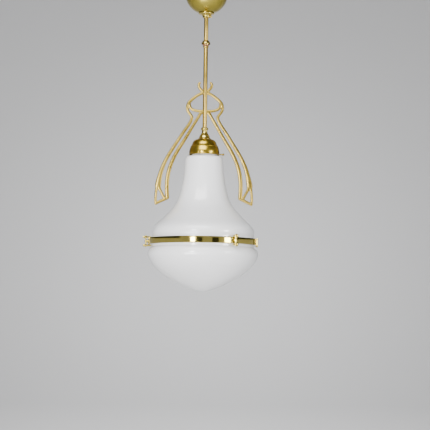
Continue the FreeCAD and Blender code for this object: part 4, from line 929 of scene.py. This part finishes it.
# The conductors: silicone insulation, brown, blue, and green with yellow stripes for the earth.
for title, low_tone, high_tone, nodes in (
        ("brown_silicone", (0.09, 0.035, 0.012), (0.13, 0.05, 0.02), ("live_wire_upper", "live_wire_lower")),
        ("blue_silicone", (0.02, 0.09, 0.30), (0.03, 0.13, 0.38), ("neutral_wire_upper", "neutral_wire_lower"))):
    silicone = Surface(title, IOR=1.42)
    dust = silicone.noise(600.0, 3.0)
    silicone.feed("Base Color", silicone.between(dust, low_tone, high_tone))
    silicone.feed("Roughness", 0.45 + dust * 0.2)
    silicone.relief(dust, 0.01 * MM, 0.3)
    kept(silicone, *nodes)
earth = Surface("green_yellow_silicone", IOR=1.42)
axes = earth.link.node("ShaderNodeSeparateXYZ", {"Vector": earth.place}, out="X")
stripe = (axes * (math.pi / (4 * MM))).maths("SINE", 0.0).maths("GREATER_THAN", 0.35)
earth.feed("Base Color", earth.between(stripe, (0.02, 0.22, 0.04), (0.75, 0.62, 0.05)))
earth.feed("Roughness", 0.45 + earth.noise(600.0) * 0.2)
kept(earth, "earth_wire")

# The lampholder: a brass cap and skirt screwed together round a glazed porcelain body that carries
# the threaded shell and the centre contact.
holder_brass = brass("holder_brass_plain", (0.72, 0.58, 0.26), (0.56, 0.42, 0.15), 0.28, AROUND_AXIS)
for node, title in (("lampholder_cap", "pressed_holder_cap"), ("lampholder_skirt", "holder_skirt")):
    kept(holder_brass, node)
porcelain = Surface("glazed_porcelain", IOR=1.5, Coat_Weight=0.6, Coat_Roughness=0.06)
glaze = porcelain.noise(90.0, 3.0)
porcelain.feed("Base Color", porcelain.between(glaze, (0.80, 0.78, 0.73), (0.87, 0.86, 0.83)))
porcelain.feed("Roughness", 0.22 + glaze * 0.08)
porcelain.relief(glaze, 0.05 * MM, 0.3)
kept(porcelain, "lampholder_ceramic")

# The lamp: a frosted glass envelope cemented in an aluminium screw cap with a black glass insulator.
frost = Surface("frosted_glass", IOR=1.45, Subsurface_Weight=0.3, Subsurface_Radius=(0.004, 0.004, 0.004),
                Subsurface_Scale=1.0)
grains = frost.noise(1200.0, 3.0)
frost.feed("Base Color", frost.between(grains, (0.84, 0.84, 0.82), (0.90, 0.90, 0.88)))
frost.feed("Roughness", 0.38 + grains * 0.2)
frost.relief(grains, 0.01 * MM, 0.3)
kept(frost, "bulb_glass")
aluminium = Surface("pressed_aluminium", Metallic=1.0)
press = aluminium.noise(1.0, 3.0, stretch=(80.0, 80.0, 3000.0))
aluminium.feed("Base Color", aluminium.between(press, (0.72, 0.72, 0.73), (0.84, 0.84, 0.84)))
aluminium.feed("Roughness", 0.26 + press * 0.18)
aluminium.relief(press, 0.01 * MM, 0.3)
kept(aluminium, "bulb_cap")
vitrite = Surface("black_vitrite", IOR=1.55)
bubbles = vitrite.noise(700.0, 3.0)
vitrite.feed("Base Color", vitrite.between(bubbles, (0.006, 0.006, 0.010), (0.02, 0.02, 0.028)))
vitrite.feed("Roughness", 0.12 + bubbles * 0.14)
vitrite.relief(bubbles, 0.02 * MM, 0.3)
kept(vitrite, "bulb_insulator")
